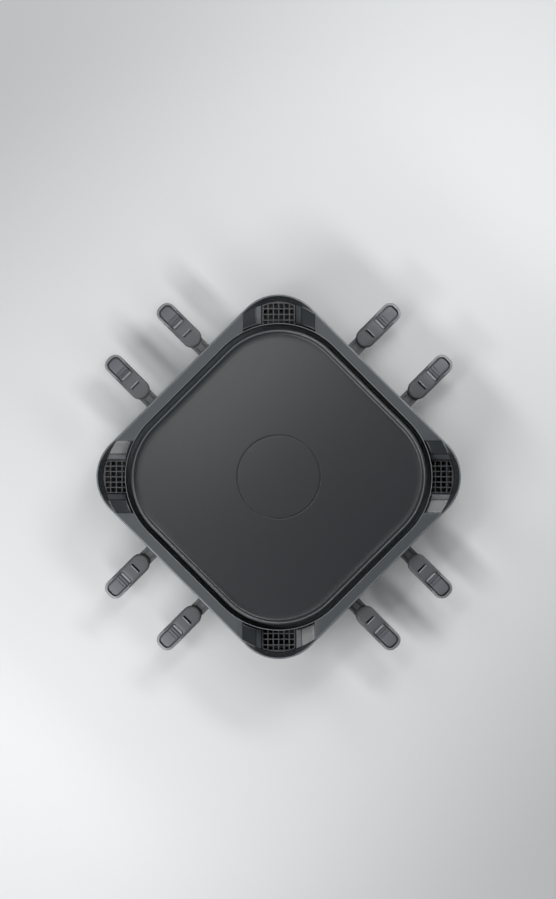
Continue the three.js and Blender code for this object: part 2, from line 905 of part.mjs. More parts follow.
for (let corner = 0; corner < sides; corner += 1) {
  addNode(`corner_post_${corner + 1}`, cornerPost(), "baseShell", turnedGroup(corner));
}

// Pans, in a frame where +X runs out of the grill and Y is measured from the pan's middle

const panMiddle = frameHalf - panSetback - panLength / 2;

function trayRing(inset, z) {
  const rectangle = { x: panMiddle, halfX: panLength / 2 - inset, halfY: panWidth / 2 - inset };
  return rectangleRing({ ...rectangle, radius: panCornerRadius - inset, z }, panCornerSteps);
}

function pan() {
  const rimLow = panTop - panRimThickness;
  const hollow = [
    trayRing(panRimWidth + panWall, panTop),
    trayRing(panRimWidth + panWall + panDraft, panBottom + panWall),
  ];
  const tray = solid(
    loft([
      trayRing(panRimWidth + panDraft, panBottom),
      trayRing(panRimWidth, rimLow),
      trayRing(0, rimLow),
      trayRing(0, panTop),
      ...hollow,
    ]),
  );
  const tangStart = panMiddle + panLength / 2 - panRimWidth - panWall - panDraft;
  const tangEnd = gripStart + tangDepth;
  const tang = block(
    [tangStart, -tangWidth / 2, tangTop - tangThickness],
    [tangEnd, tangWidth / 2, tangTop],
  );
  const rib = block(
    [panMiddle + panLength / 2, -tangRibWidth / 2, tangTop - overrun],
    [gripStart + tangDepth / 2, tangRibWidth / 2, tangTop + tangRibHeight],
  );
  return tang.subtract(solid(loft(hollow))).add(tray).add(rib);
}

/** Half the grip's width at a distance from its inner end. */
function gripHalfWidthAt(distance) {
  const fromTip = gripLength - distance;
  if (distance < gripHalfWidth) {
    return Math.sqrt(gripHalfWidth ** 2 - (gripHalfWidth - distance) ** 2);
  }
  if (fromTip < tipRadius) {
    return gripHalfWidth - tipRadius + Math.sqrt(tipRadius ** 2 - (tipRadius - fromTip) ** 2);
  }
  return gripHalfWidth;
}

/** How far the grip's upper side falls towards its tip, as a share of the whole fall. */
function tipShare(distance) {
  const into = Math.max(distance - (gripLength - tipCurve), 0) / tipCurve;
  return 1 - Math.sqrt(Math.max(1 - into ** 2, 0));
}

/** Distances from the grip's inner end at which its section is drawn. */
function gripStations() {
  const places = [];
  for (let step = 1; step <= gripEndSteps; step += 1) {
    places.push(gripHalfWidth * (1 - Math.cos((quarterTurn * step) / gripEndSteps)));
  }
  places.push(gripLength - tipCurve);
  for (let step = 0; step < gripTipSteps; step += 1) {
    places.push(gripLength - tipRadius * (1 - Math.sin((quarterTurn * step) / gripTipSteps)));
  }
  return places;
}

function gripSection(distance) {
  const halfWidth = gripHalfWidthAt(distance);
  const high = gripTop - tipDrop * tipShare(distance);
  const low = gripBottom + tipLift * tipShare(distance);
  const radius = Math.min(gripCornerRadius, halfWidth * 0.9);
  const flat = rectangleRing(
    { halfX: halfWidth, halfY: (high - low) / 2, radius, z: 0 },
    gripSectionSteps,
  );
  const middle = (high + low) / 2;
  return flat.map((point) => new THREE.Vector3(gripStart + distance, point.x, middle + point.y));
}

function panGrip() {
  const body = solid(loft(gripStations().map(gripSection)));
  const socket = block(
    [gripStart - overrun, -tangWidth / 2 - fitGap, tangTop - tangThickness - fitGap],
    [gripStart + tangDepth + fitGap, tangWidth / 2 + fitGap, tangTop + fitGap],
  );
  const ribSlot = block(
    [gripStart - overrun, -tangRibWidth / 2 - fitGap, tangTop],
    [gripStart + tangDepth / 2 + fitGap, tangRibWidth / 2 + fitGap, tangTop + tangRibHeight + fitGap],
  );
  const mark = block(
    [gripStart + markFromEnd - markWidth / 2, -markLength / 2, gripTop - markDepth],
    [gripStart + markFromEnd + markWidth / 2, markLength / 2, gripTop + overrun],
  );
  const recess = roundedPlate(recessOutline(0), gripTop - recessDepth, gripTop + overrun, panCornerSteps);
  return body.subtract(socket).subtract(ribSlot).subtract(mark).subtract(recess);
}

/** The recess's outline moved inwards. */
function recessOutline(inset) {
  return {
    x: (recessStart + recessEnd) / 2,
    halfX: recessLength / 2 - inset,
    halfY: recessHalfWidth - inset,
    radius: recessRadius - inset,
  };
}

function gripPad() {
  const low = gripTop - recessDepth + fitGap;
  const high = low + padHeight;
  let pad = roundedPlate(recessOutline(padGap), low, high, panCornerSteps);
  const ridgeHalf = recessHalfWidth - padGap - ridgeSetback;
  const leadStart = recessStart + padGap + ridgeWidth;
  for (let ridge = 0; ridge <= ridgeCount; ridge += 1) {
    const x = leadStart + ridge * ridgePitch;
    const rise = ridge === 0 ? leadRidgeHeight : ridgeHeight;
    const half = ridgeHalf;
    pad = pad.add(block([x - ridgeWidth / 2, -half, high - ridgeHeight], [x + ridgeWidth / 2, half, high + rise]));
  }
  return pad;
}

let panNumber = 0;
for (let side = 0; side < sides; side += 1) {
  for (const sign of [-1, 1]) {
    panNumber += 1;
    const place = new THREE.Group();
    place.position.y = (sign * panPitch) / 2;
    turnedGroup(side).add(place);
    addNode(`pan_${panNumber}`, pan(), "pan", place);
    addNode(`pan_grip_${panNumber}`, panGrip(), "grip", place);
    addNode(`grip_pad_${panNumber}`, gripPad(), "pad", place);
  }
}

// Controls on the front wall

const frontFace = -baseHalf;
const frontInside = -baseHalf + baseWall;

function controlKnob() {
  const back = frontFace - knobGap;
  const face = back - knobDepth;
  const knob = barAlongY(knobRadius - knobDraft, face, back, { x: 0, z: controlLevel, highRadius: knobRadius });
  const pointer = block(
    [-pointerWidth / 2, face - pointerHeight, controlLevel],
    [pointerWidth / 2, face + overrun, controlLevel + knobRadius - knobDraft],
  );
  const spindle = barAlongY(spindleRadius, back - overrun, frontInside + spindleReach, {
    x: 0,
    z: controlLevel,
    steps: smallRoundSteps,
  });
  return knob.add(pointer).add(spindle);
}
addNode("control_knob", controlKnob(), "knob");

function thermostat() {
  const face = frontInside + fitGap;
  const housing = block(
    [-thermostatWidth / 2, face, baseBottom + thermostatInset],
    [thermostatWidth / 2, face + thermostatDepth, baseTop - thermostatInset],
  );
  const neck = barAlongY(thermostatNeckRadius, frontFace, face + overrun, {
    x: 0,
    z: controlLevel,
    steps: smallRoundSteps,
  });
  const bore = barAlongY(spindleRadius + fitGap, frontFace - overrun, frontInside + spindleReach + fitGap, {
    x: 0,
    z: controlLevel,
    steps: smallRoundSteps,
  });
  return housing.add(neck).subtract(bore);
}
addNode("thermostat", thermostat(), "switchgear");

function pilotLamp() {
  const face = frontFace - fitGap;
  const place = { x: lampOffset, z: controlLevel };
  const bezel = barAlongY(lampRadius, face - lampFlange, face, {
    ...place,
    highRadius: lampRadius + lampBezel,
    steps: roundSteps,
  });
  const body = barAlongY(lampRadius, face - overrun / 2, face + lampLength, { ...place, steps: smallRoundSteps });
  return bezel.add(body);
}
addNode("pilot_lamp", pilotLamp(), "lamp");

// Power inlet with its three pins on the rear wall

const inletFace = baseHalf + fitGap + inletFlangeThickness;
const inletBack = inletFace - inletDepth;

function powerInlet() {
  const halfWidth = inletWidth / 2;
  const halfHeight = inletHeight / 2;
  const flange = block(
    [-halfWidth - inletFlange, inletFace - inletFlangeThickness, controlLevel - halfHeight - inletFlange],
    [halfWidth + inletFlange, inletFace, controlLevel + halfHeight + inletFlange],
  );
  const body = block(
    [-halfWidth, inletBack, controlLevel - halfHeight],
    [halfWidth, inletFace - overrun, controlLevel + halfHeight],
  );
  const cavity = block(
    [-halfWidth + inletWall, inletBack + inletFloor, controlLevel - halfHeight + inletWall],
    [halfWidth - inletWall, inletFace + overrun, controlLevel + halfHeight - inletWall],
  );
  let inlet = flange.add(body).subtract(cavity);
  for (const { x, z } of pinPlaces()) {
    inlet = inlet.subtract(pinBlock(x, z, fitGap, overrun));
  }
  return inlet;
}

/** The live, neutral and earth pins, on the wall. */
function pinPlaces() {
  return [
    { name: "live", x: -pinSpacing, z: controlLevel - pinRise },
    { name: "neutral", x: pinSpacing, z: controlLevel - pinRise },
    { name: "earth", x: 0, z: controlLevel + pinRise },
  ];
}

/** A pin's bar, or the larger hole for it. */
function pinBlock(x, z, clearance, extra) {
  const halfWidth = pinWidth / 2 + clearance;
  const halfHeight = pinHeight / 2 + clearance;
  return block(
    [x - halfWidth, inletBack - pinTail - extra, z - halfHeight],
    [x + halfWidth, inletBack + inletFloor + pinLength + extra, z + halfHeight],
  );
}
addNode("power_inlet", powerInlet(), "blackPlastic");
for (const { name, x, z } of pinPlaces()) {
  addNode(`inlet_pin_${name}`, pinBlock(x, z, 0, 0), "brass");
}

const thermostatBack = frontInside + fitGap + thermostatDepth;
const cutoutY = thermostatBack + fitGap + cutoutRadius;

function thermalCutout() {
  const high = baseTop - baseWall - fitGap;
  return roundBar(cutoutRadius, high - cutoutHeight, high, { y: cutoutY });
}
addNode("thermal_cutout", thermalCutout(), "switchgear");

// Wiring inside: each lead is one insulated wire

function lead(points) {
  const curve = new THREE.CatmullRomCurve3(points.map((point) => new THREE.Vector3(...point)));
  curve.curveType = "centripetal";
  const section = new THREE.Shape();
  for (let side = 0; side < leadSides; side += 1) {
    const angle = (2 * Math.PI * side) / leadSides;
    const point = [leadRadius * Math.cos(angle), leadRadius * Math.sin(angle)];
    if (side === 0) {
      section.moveTo(...point);
    } else {
      section.lineTo(...point);
    }
  }
  section.closePath();
  const geometry = new THREE.ExtrudeGeometry(section, { steps: leadSteps, extrudePath: curve });
  return solid(geometry);
}

const pinEnd = inletBack - pinTail - fitGap;
const pinLevel = controlLevel - pinRise;
const cutoutBack = cutoutY + cutoutRadius + fitGap;
const cutoutLevel = baseTop - baseWall - fitGap - cutoutHeight / 2;
const terminalEnd = wellHalf - shieldInset + terminalOut + fitGap;
const channelMiddle = wellHalf + (frameBand + wellWall - frameWall) / 2;

/** The way up the rear right corner post and along the frame to a terminal of the element. */
function risingRoute(side, terminal) {
  const shift = (side * leadPitch) / 2;
  const out = leadHole.x;
  const post = out + shift;
  const channel = channelMiddle + shift;
  return [
    [post, post, baseTop - baseWall],
    [post, post, flangeBottom - leadEndRun],
    [post - 5, post + 4, flangeBottom + 2.4],
    [out - 18 + shift, channel - 4, flangeBottom + 3],
    [postEdge + 22, channel, flangeBottom + 2.6],
    [postEdge + 4, channel, flangeBottom + 2.2],
    [postEdge - 14, channel, elementLevel + 1],
    [terminal + 2.5 * leadEndRun, channel, elementLevel],
    [terminal + leadEndRun, channel, elementLevel],
    [terminal, channel - leadEndRun / 2, elementLevel],
    [terminal, terminalEnd, elementLevel],
  ];
}

const supplyRoute = [
  [-pinSpacing, pinEnd, pinLevel],
  [-pinSpacing, pinEnd - leadEndRun, pinLevel - 1],
  [-20, 112, 14],
  [-23, 0, 12],
  [-18, -104, 18],
  [0, cutoutBack + leadEndRun, cutoutLevel],
  [0, cutoutBack, cutoutLevel],
];
const neutralRoute = [
  [pinSpacing, pinEnd, pinLevel],
  [pinSpacing, pinEnd - leadEndRun, pinLevel - 1],
  [36, 128, 14],
  [108, 138, 14],
  [136, 154, 22],
  ...risingRoute(1, 0),
];
const heaterRoute = [
  [pinSpacing, thermostatBack + fitGap, controlLevel + pinRise],
  [pinSpacing, thermostatBack + leadEndRun * 1.5, controlLevel + pinRise],
  [44, -96, 16],
  [92, 40, 13],
  [140, 112, 16],
  [148, 134, 24],
  ...risingRoute(-1, terminalSpacing),
];
addNode("lead_supply", lead(supplyRoute), "leadLive");
addNode("lead_neutral", lead(neutralRoute), "leadNeutral");
addNode("lead_heater", lead(heaterRoute), "leadLive");

export default grill;
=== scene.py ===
"""Square tabletop raclette grill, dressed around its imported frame.

Metres, +Z up, the origin on the table under the centre and the front at -Y. Every sub-assembly is
a class that builds its meshes and dresses them, and each finish is a small frozen dataclass.
"""

import logging
import math
from collections.abc import Callable, Sequence
from dataclasses import dataclass
from enum import Enum, IntEnum
from functools import cache, partial

import bmesh
import bpy
from mathutils import Matrix, Vector


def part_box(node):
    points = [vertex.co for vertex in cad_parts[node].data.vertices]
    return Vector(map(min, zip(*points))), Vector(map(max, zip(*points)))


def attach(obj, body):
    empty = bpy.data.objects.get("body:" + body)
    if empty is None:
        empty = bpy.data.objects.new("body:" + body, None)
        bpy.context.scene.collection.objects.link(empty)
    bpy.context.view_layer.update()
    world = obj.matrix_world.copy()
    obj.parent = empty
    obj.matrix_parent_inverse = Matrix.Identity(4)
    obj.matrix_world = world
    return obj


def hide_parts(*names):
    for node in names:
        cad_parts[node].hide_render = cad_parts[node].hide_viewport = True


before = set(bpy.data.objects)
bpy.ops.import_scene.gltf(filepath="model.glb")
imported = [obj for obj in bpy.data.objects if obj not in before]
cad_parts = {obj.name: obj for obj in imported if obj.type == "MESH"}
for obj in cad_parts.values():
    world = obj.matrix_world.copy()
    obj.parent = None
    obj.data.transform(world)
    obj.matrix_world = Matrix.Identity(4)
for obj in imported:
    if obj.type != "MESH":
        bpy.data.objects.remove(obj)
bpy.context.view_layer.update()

log = logging.getLogger("raclette_grill")

MM = 0.001
WELD = 0.00001
SQRT2 = math.sqrt(2)
QUARTER = math.pi / 2
SIDES = 4
CUT_MARGIN = 1 * MM
SHARP_ANGLE = math.radians(38)
ROUNDED_ANGLE = math.radians(40)

BMesh = bmesh.types.BMesh
Piece = bpy.types.Object
Run = list[Vector]
Rows = list[tuple[float, float]]
Sizes = tuple[tuple[float, ...], ...]
Colour = tuple[float, ...]


def mm(*rows: Sequence[float]) -> Sizes:
    """A table in metres from rows that are written in millimetres."""
    return tuple(tuple(size * MM for size in row) for row in rows)


@cache
def box(node: str) -> tuple[Vector, Vector]:
    """The lowest and the highest corner of one of the frame's nodes, read once."""
    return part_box(node)


def centre(node: str) -> Vector:
    """The middle of one of the frame's nodes."""
    low, high = box(node)
    return (low + high) / 2


def quarter_turns(first: float = 0.0) -> list[Matrix]:
    """Four turns about the upright axis, the first by a share of a quarter."""
    return [Matrix.Rotation((side + first) * QUARTER, 4, "Z") for side in range(SIDES)]


def above(height: float, rows: Sizes) -> Rows:
    """Rows that end in a rise, with heights in its place."""
    return [(across, height + rise) for across, rise in rows]


def below(height: float, rows: Sizes) -> Rows:
    """Rows that end in a drop, with heights in its place."""
    return [(across, height - drop) for across, drop in rows]


# Meshes


def weld(bm: BMesh) -> BMesh:
    """Merges doubled points and turns every face outwards.

    Args:
        bm: The mesh.

    Returns:
        The same mesh.
    """
    bmesh.ops.remove_doubles(bm, verts=bm.verts, dist=WELD)
    bmesh.ops.recalc_face_normals(bm, faces=bm.faces)
    return bm


def skin(rings: Sequence[Sequence[Vector]], closed: bool = False,
         left_out: Callable[[int, int], bool] | None = None,
         finish: Callable[[int, int], int] | None = None) -> BMesh:
    """A grid of quads laid over rings of equally many points.

    Args:
        rings: The rings, each a closed run of points.
        closed: Whether the last ring joins the first one.
        left_out: Says which faces stay open, by ring and by point.
        finish: Gives the number of a face's finish on the piece, by ring and by point.

    Returns:
        The welded mesh.
    """
    columns = len(rings[0])
    rows = len(rings) if closed else len(rings) - 1
    bm = bmesh.new()
    bmesh.ops.create_grid(bm, x_segments=columns, y_segments=rows, size=1.0)
    for index, vert in enumerate(bm.verts):
        row, column = divmod(index, columns + 1)
        vert.co = rings[row % len(rings)][column % columns]
    places = {face: divmod(min(v.index for v in face.verts), columns + 1) for face in bm.faces}
    if finish is not None:
        for face, place in places.items():
            face.material_index = finish(*place)
    if left_out is not None:
        unwanted = [face for face, place in places.items() if left_out(*place)]
        bmesh.ops.delete(bm, geom=unwanted, context="FACES")
    return weld(bm)


def turned(profile: Sequence[tuple[float, float]], steps: int) -> BMesh:
    """A body of revolution about the upright axis.

    Args:
        profile: Points of its half section, as radius and height.
        steps: How many steps the turn has.

    Returns:
        The welded mesh.
    """
    bm = bmesh.new()
    verts = [bm.verts.new((radius, 0, height)) for radius, height in profile]
    edges = [bm.edges.new(pair) for pair in zip(verts, verts[1:])]
    bmesh.ops.spin(bm, geom=verts + edges, cent=(0, 0, 0), axis=(0, 0, 1), dvec=(0, 0, 0),
                   angle=2 * math.pi, steps=steps, use_merge=True)
    return weld(bm)


def drill_bit(radius: float, reach: float) -> BMesh:
    """The cutter of a round hole, reaching equally up and down."""
    return turned([(0, -reach), (radius, -reach), (radius, reach), (0, reach)], 24)


def facing_front(bm: BMesh, place: Sequence[float]) -> BMesh:
    """Turns a body made about the upright axis so that its top faces the front.

    Args:
        bm: The body, with its upper end outermost.
        place: Where the middle of its zero height goes.

    Returns:
        The same mesh.
    """
    bmesh.ops.rotate(bm, verts=bm.verts, cent=(0, 0, 0), matrix=Matrix.Rotation(QUARTER, 3, "X"))
    bmesh.ops.translate(bm, verts=bm.verts, vec=place)
    return bm


def eased(bm: BMesh, edges: Sequence[bmesh.types.BMEdge], width: float, segments: int) -> BMesh:
    """Rounds some edges of a mesh.

    Args:
        bm: The mesh.
        edges: The edges to round.
        width: The width of the rounding.
        segments: How many facets it has.

    Returns:
        The same mesh.
    """
    bmesh.ops.bevel(bm, geom=edges, offset=width, offset_type="OFFSET", segments=segments,
                    profile=0.5, affect="EDGES", material=-1, clamp_overlap=True)
    return bm


def edges_along(bm: BMesh, axis: int) -> list[bmesh.types.BMEdge]:
    """The edges of a block that run along one axis."""
    return [e for e in bm.edges if abs(e.verts[0].co[axis] - e.verts[1].co[axis]) > CUT_MARGIN]


def boundary(bm: BMesh) -> list[bmesh.types.BMEdge]:
    """The edges of a mesh that have a face on one side only."""
    return [edge for edge in bm.edges if edge.is_boundary]


def block(low: Sequence[float], high: Sequence[float], edge: float = 0.0, segments: int = 2) -> BMesh:
    """A box between two corners with rounded edges.

    Args:
        low: Its lowest corner.
        high: Its highest corner.
        edge: The width of the rounding, or zero for sharp edges.
        segments: How many facets the rounding has.

    Returns:
        The mesh.
    """
    low, high = Vector(low), Vector(high)
    placement = Matrix.Translation((low + high) / 2) @ Matrix.Diagonal((*(high - low), 1))
    bm = bmesh.new()
    bmesh.ops.create_cube(bm, size=1.0, matrix=placement)
    return eased(bm, bm.edges[:], edge, segments) if edge else bm


def thickened(bm: BMesh, rise: float) -> BMesh:
    """Gives a flat sheet its thickness.

    Args:
        bm: The sheet.
        rise: The thickness, upwards or, below zero, downwards.

    Returns:
        The same mesh, closed.
    """
    grown = bmesh.ops.extrude_face_region(bm, geom=bm.faces[:])
    moved = [item for item in grown["geom"] if isinstance(item, bmesh.types.BMVert)]
    bmesh.ops.translate(bm, verts=moved, vec=(0, 0, rise))
    return weld(bm)


def painted(bm: BMesh, number: int) -> BMesh:
    """Gives every face of a mesh the same finish.

    Args:
        bm: The mesh.
        number: The finish's place in the piece's list.

    Returns:
        The same mesh.
    """
    for face in bm.faces:
        face.material_index = number
    return bm


def joined(*parts: BMesh) -> BMesh:
    """Several meshes in one.

    Args:
        parts: The meshes, which are freed.

    Returns:
        The mesh of all of them, as separate lumps.
    """
    whole = bmesh.new()
    for part in parts:
        lump = bpy.data.meshes.new("lump")
        part.to_mesh(lump)
        part.free()
        whole.from_mesh(lump)
        bpy.data.meshes.remove(lump)
    return whole


# Objects


def as_object(bm: BMesh, name: str) -> Piece:
    """Turns a mesh under construction into an object at the origin.

    Args:
        bm: The mesh, which is freed.
        name: The object's name.

    Returns:
        The object, linked to the scene.
    """
    mesh = bpy.data.meshes.new(name)
    bm.to_mesh(mesh)
    bm.free()
    piece = bpy.data.objects.new(name, mesh)
    bpy.context.scene.collection.objects.link(piece)
    return piece


def taken_back(piece: Piece) -> BMesh:
    """Turns an object into a mesh under construction again, and removes the object.

    Args:
        piece: The object.

    Returns:
        The mesh.
    """
    bm = bmesh.new()
    bm.from_mesh(piece.data)
    bpy.data.objects.remove(piece)
    return bm


def applied(piece: Piece) -> Piece:
    """Puts what an object's modifiers make into its own mesh.

    Args:
        piece: The object.

    Returns:
        The same object, without modifiers.
    """
    graph = bpy.context.evaluated_depsgraph_get()
    mesh = bpy.data.meshes.new_from_object(piece.evaluated_get(graph))
    piece.modifiers.clear()
    piece.data = mesh
    return piece


class Meeting(Enum):
    """What a second mesh does to an object."""

    CUTS = "DIFFERENCE"
    ADDS = "UNION"


def carved(piece: Piece, other: BMesh, meeting: Meeting = Meeting.CUTS) -> Piece:
    """Cuts a closed mesh out of an object, or adds it.

    Args:
        piece: The object.
        other: The mesh, which is freed.
        meeting: Whether it is cut out or added.

    Returns:
        The object with its new mesh.
    """
    tool = as_object(other, "tool")
    modifier = piece.modifiers.new("meeting", "BOOLEAN")
    modifier.operation = meeting.value
    modifier.solver = "EXACT"
    modifier.object = tool
    applied(piece)
    bpy.data.objects.remove(tool)
    return piece


def rounded(piece: Piece, width: float) -> Piece:
    """Rounds an object's sharp edges.

    Args:
        piece: The object.
        width: The width of the rounding.

    Returns:
        The object with its new mesh.
    """
    bevel = piece.modifiers.new("edges", "BEVEL")
    bevel.width = width
    bevel.segments = 2
    bevel.limit_method = "ANGLE"
    bevel.angle_limit = ROUNDED_ANGLE
    return applied(piece)


def copy_of(piece: Piece, name: str, placement: Matrix) -> Piece:
    """A second object with its own mesh, put somewhere else.

    Args:
        piece: The object to copy.
        name: The copy's name.
        placement: Where the copy's mesh goes.

    Returns:
        The copy, with its object at the origin.
    """
    mesh = piece.data.copy()
    mesh.name = name
    mesh.transform(placement)
    copy = bpy.data.objects.new(name, mesh)
    bpy.context.scene.collection.objects.link(copy)
    return copy


def tube(name: str, points: Sequence[Vector], radius: float, resolution: int) -> Piece:
    """A round tube with closed ends along a line of points.

    Args:
        name: The object's name.
        points: Its centre line.
        radius: Its radius.
        resolution: Half the steps of a half turn of its section.

    Returns:
        The tube as a mesh.
    """
    curve = bpy.data.curves.new(name, "CURVE")
    curve.dimensions = "3D"
    curve.bevel_depth = radius
    curve.bevel_resolution = resolution
    curve.use_fill_caps = True
    spline = curve.splines.new("POLY")
    spline.points.add(len(points) - 1)
    for place, point in zip(spline.points, points):
        place.co = (*point, 1)
    line = bpy.data.objects.new("line", curve)
    bpy.context.scene.collection.objects.link(line)
    graph = bpy.context.evaluated_depsgraph_get()
    mesh = bpy.data.meshes.new_from_object(line.evaluated_get(graph))
    bpy.data.objects.remove(line)
    bm = bmesh.new()
    bm.from_mesh(mesh)
    return as_object(weld(bm), name)


# Outlines


def arc(x: float, y: float, radius: float, height: float, quarters: tuple[float, float], steps: int) -> Run:
    """Points on a level arc.

    Args:
        x: The centre's first coordinate.
        y: The centre's second coordinate.
        radius: The arc's radius.
        height: Its height.
        quarters: The directions of its ends, in quarter turns from +X.
        steps: How many steps it has.

    Returns:
        The points from one end to the other.
    """
    first, last = quarters
    angles = [QUARTER * (first + (last - first) * step / steps) for step in range(steps + 1)]
    return [Vector((x + radius * math.cos(a), y + radius * math.sin(a), height)) for a in angles]


@dataclass(frozen=True)
class Outline:
    """A rounded square about the upright axis, and its parallels inwards."""

    half: float
    radius: float

    @property
    def straight(self) -> float:
        """Half the length of a straight side, which is also where a corner's centre lies."""
        return self.half - self.radius

    def ring(self, inset: float, height: float, steps: int = 12, side_steps: int = 1) -> Run:
        """A parallel as a closed run of points.

        Args:
            inset: How far the parallel lies inside the outline.
            height: Its height.
            steps: How many steps each corner has.
            side_steps: How many steps each straight side has.

        Returns:
            The points, counter-clockwise from the right side's upper end.
        """
        radius = self.radius - inset
        first = arc(self.straight, self.straight, radius, height, (0, 1), steps)
        shares = [1 - 2 * step / side_steps for step in range(1, side_steps)]
        first += [Vector((self.straight * share, self.straight + radius, height)) for share in shares]
        return [turn @ point for turn in quarter_turns() for point in first]

    def reach(self, inset: float, across: float) -> float:
        """How far out along the diagonal a parallel crosses a line beside it.

        Args:
            inset: How far the parallel lies inside the outline.
            across: The line's distance from the diagonal.

        Returns:
            The distance along the diagonal.
        """
        radius = self.radius - inset
        if across < radius / SQRT2:
            return self.straight * SQRT2 + math.sqrt(radius**2 - across**2)
        return (self.half - inset) * SQRT2 - across


def oblong(start: float, end: float, half: float, radii: tuple[float, float], height: float,
           inset: float = 0.0, side_steps: int = 6) -> Run:
    """A closed run of points round an oblong that lies along X.

    Args:
        start: Its inner end.
        end: Its outer end.
        half: Half its width.
        radii: Corner radii at the inner and the outer end.
        height: Its height.
        inset: How far the run lies inside the oblong.
        side_steps: How many steps each long side has.

    Returns:
        The points, counter-clockwise from the middle of the outer end.
    """
    half = max(half - inset, 0.0)
    low, high = start + inset, end - inset
    inner, outer = [min(max(radius - inset, 0.0), half) for radius in radii]
    corners = [(high - outer, half - outer, outer), (low + inner, half - inner, inner),
               (low + inner, inner - half, inner), (high - outer, outer - half, outer)]
    points: Run = []
    for corner, (x, y, radius) in enumerate(corners):
        points += arc(x, y, radius, height, (corner, corner + 1), 8)
        if corner in (0, 2):
            arc_end = points[-1]
            following = Vector((corners[corner + 1][0], arc_end.y, height))
            points += [arc_end.lerp(following, step / side_steps) for step in range(1, side_steps)]
    return points


def between(value: float, stops: Sizes) -> float:
    """Reads a run of straight stretches.

    Args:
        value: Where to read it.
        stops: Its corners, as place and height, with rising places.

    Returns:
        The height there, level beyond both ends.
    """
    for (low, from_height), (high, to_height) in zip(stops, stops[1:]):
        if value < high:
            share = max((value - low) / (high - low), 0.0)
            return from_height + (to_height - from_height) * share
    return stops[-1][1]


def fillet(radius: float, steps: int) -> Rows:
    """A quarter round as inset and drop, from the side of a body to its top."""
    angles = [QUARTER * step / steps for step in range(steps + 1)]
    return [(radius * (1 - math.cos(angle)), radius * (1 - math.sin(angle))) for angle in angles]


# Materials


class Value:
    """A number that varies over a surface, on which Python sums work."""

    def __init__(self, nodes: "Nodes", socket: bpy.types.NodeSocket) -> None:
        """Wraps a socket.

        Args:
            nodes: The nodes that the socket belongs to.
            socket: The socket that gives the number.
        """
        self.nodes = nodes
        self.socket = socket

    def _sum(self, operation: str, first: "Value | float", second: "Value | float") -> "Value":
        """Adds one Math node."""
        node = self.nodes.node("ShaderNodeMath", {"operation": operation}, {0: first, 1: second})
        return Value(self.nodes, node.outputs[0])

    def __add__(self, other: "Value | float") -> "Value":
        """This number plus another."""
        return self._sum("ADD", self, other)

    __radd__ = __add__

    def __sub__(self, other: "Value | float") -> "Value":
        """This number less another."""
        return self._sum("SUBTRACT", self, other)

    def __rsub__(self, other: float) -> "Value":
        """Another number less this one."""
        return self._sum("SUBTRACT", other, self)

    def __mul__(self, other: "Value | float") -> "Value":
        """This number times another."""
        return self._sum("MULTIPLY", self, other)

    __rmul__ = __mul__


class Nodes:
    """The nodes of a material or of the world, made through one method."""

    def __init__(self, tree: bpy.types.NodeTree) -> None:
        """Takes the tree that the nodes go into."""
        self.tree = tree

    def plug(self, socket: bpy.types.NodeSocket, value: object) -> None:
        """Links an input, or sets it.

        Args:
            socket: The input.
            value: A varying number or a socket to link, or a plain value.
        """
        source = value.socket if isinstance(value, Value) else value
        if isinstance(source, bpy.types.NodeSocket):
            self.tree.links.new(source, socket)
        else:
            socket.default_value = source

    def node(self, kind: str, settings: dict[str, object] | None = None,
             inputs: dict[str | int, object] | None = None) -> bpy.types.Node:
        """Adds a node.

        Args:
            kind: Its type.
            settings: Its settings, set first; stops are a ramp's positions and colours.
            inputs: The values or links of its sockets.

        Returns:
            The node.
        """
        node = self.tree.nodes.new(kind)
        for name, value in (settings or {}).items():
            if name == "stops":
                for stop, (position, colour) in zip(node.color_ramp.elements, value):
                    stop.position = position
                    stop.color = (*colour, 1)
            else:
                setattr(node, name, value)
        for name, value in (inputs or {}).items():
            self.plug(node.inputs[name], value)
        return node

    def fade(self, value: object, span: tuple[float, float], levels: tuple[float, float]) -> Value:
        """A smooth change from one level to another.

        Args:
            value: The number that drives it.
            span: Where the change starts and ends.
            levels: The level before and after it.

        Returns:
            The changing level.
        """
        names = ("From Min", "From Max", "To Min", "To Max")
        inputs = {"Value": value, **dict(zip(names, (*span, *levels)))}
        ramp = self.node("ShaderNodeMapRange", {"interpolation_type": "SMOOTHSTEP"}, inputs)
        return Value(self, ramp.outputs[0])

    def seen(self) -> Value:
        """Tells the rays that show the surroundings from those that only light.

        Returns:
            One for the former, and zero for the latter.
        """
        rays = self.node("ShaderNodeLightPath").outputs
        names = ("Is Camera Ray", "Is Glossy Ray", "Is Transmission Ray")
        camera, glossy, through = (Value(self, rays[name]) for name in names)
        return camera + glossy + through


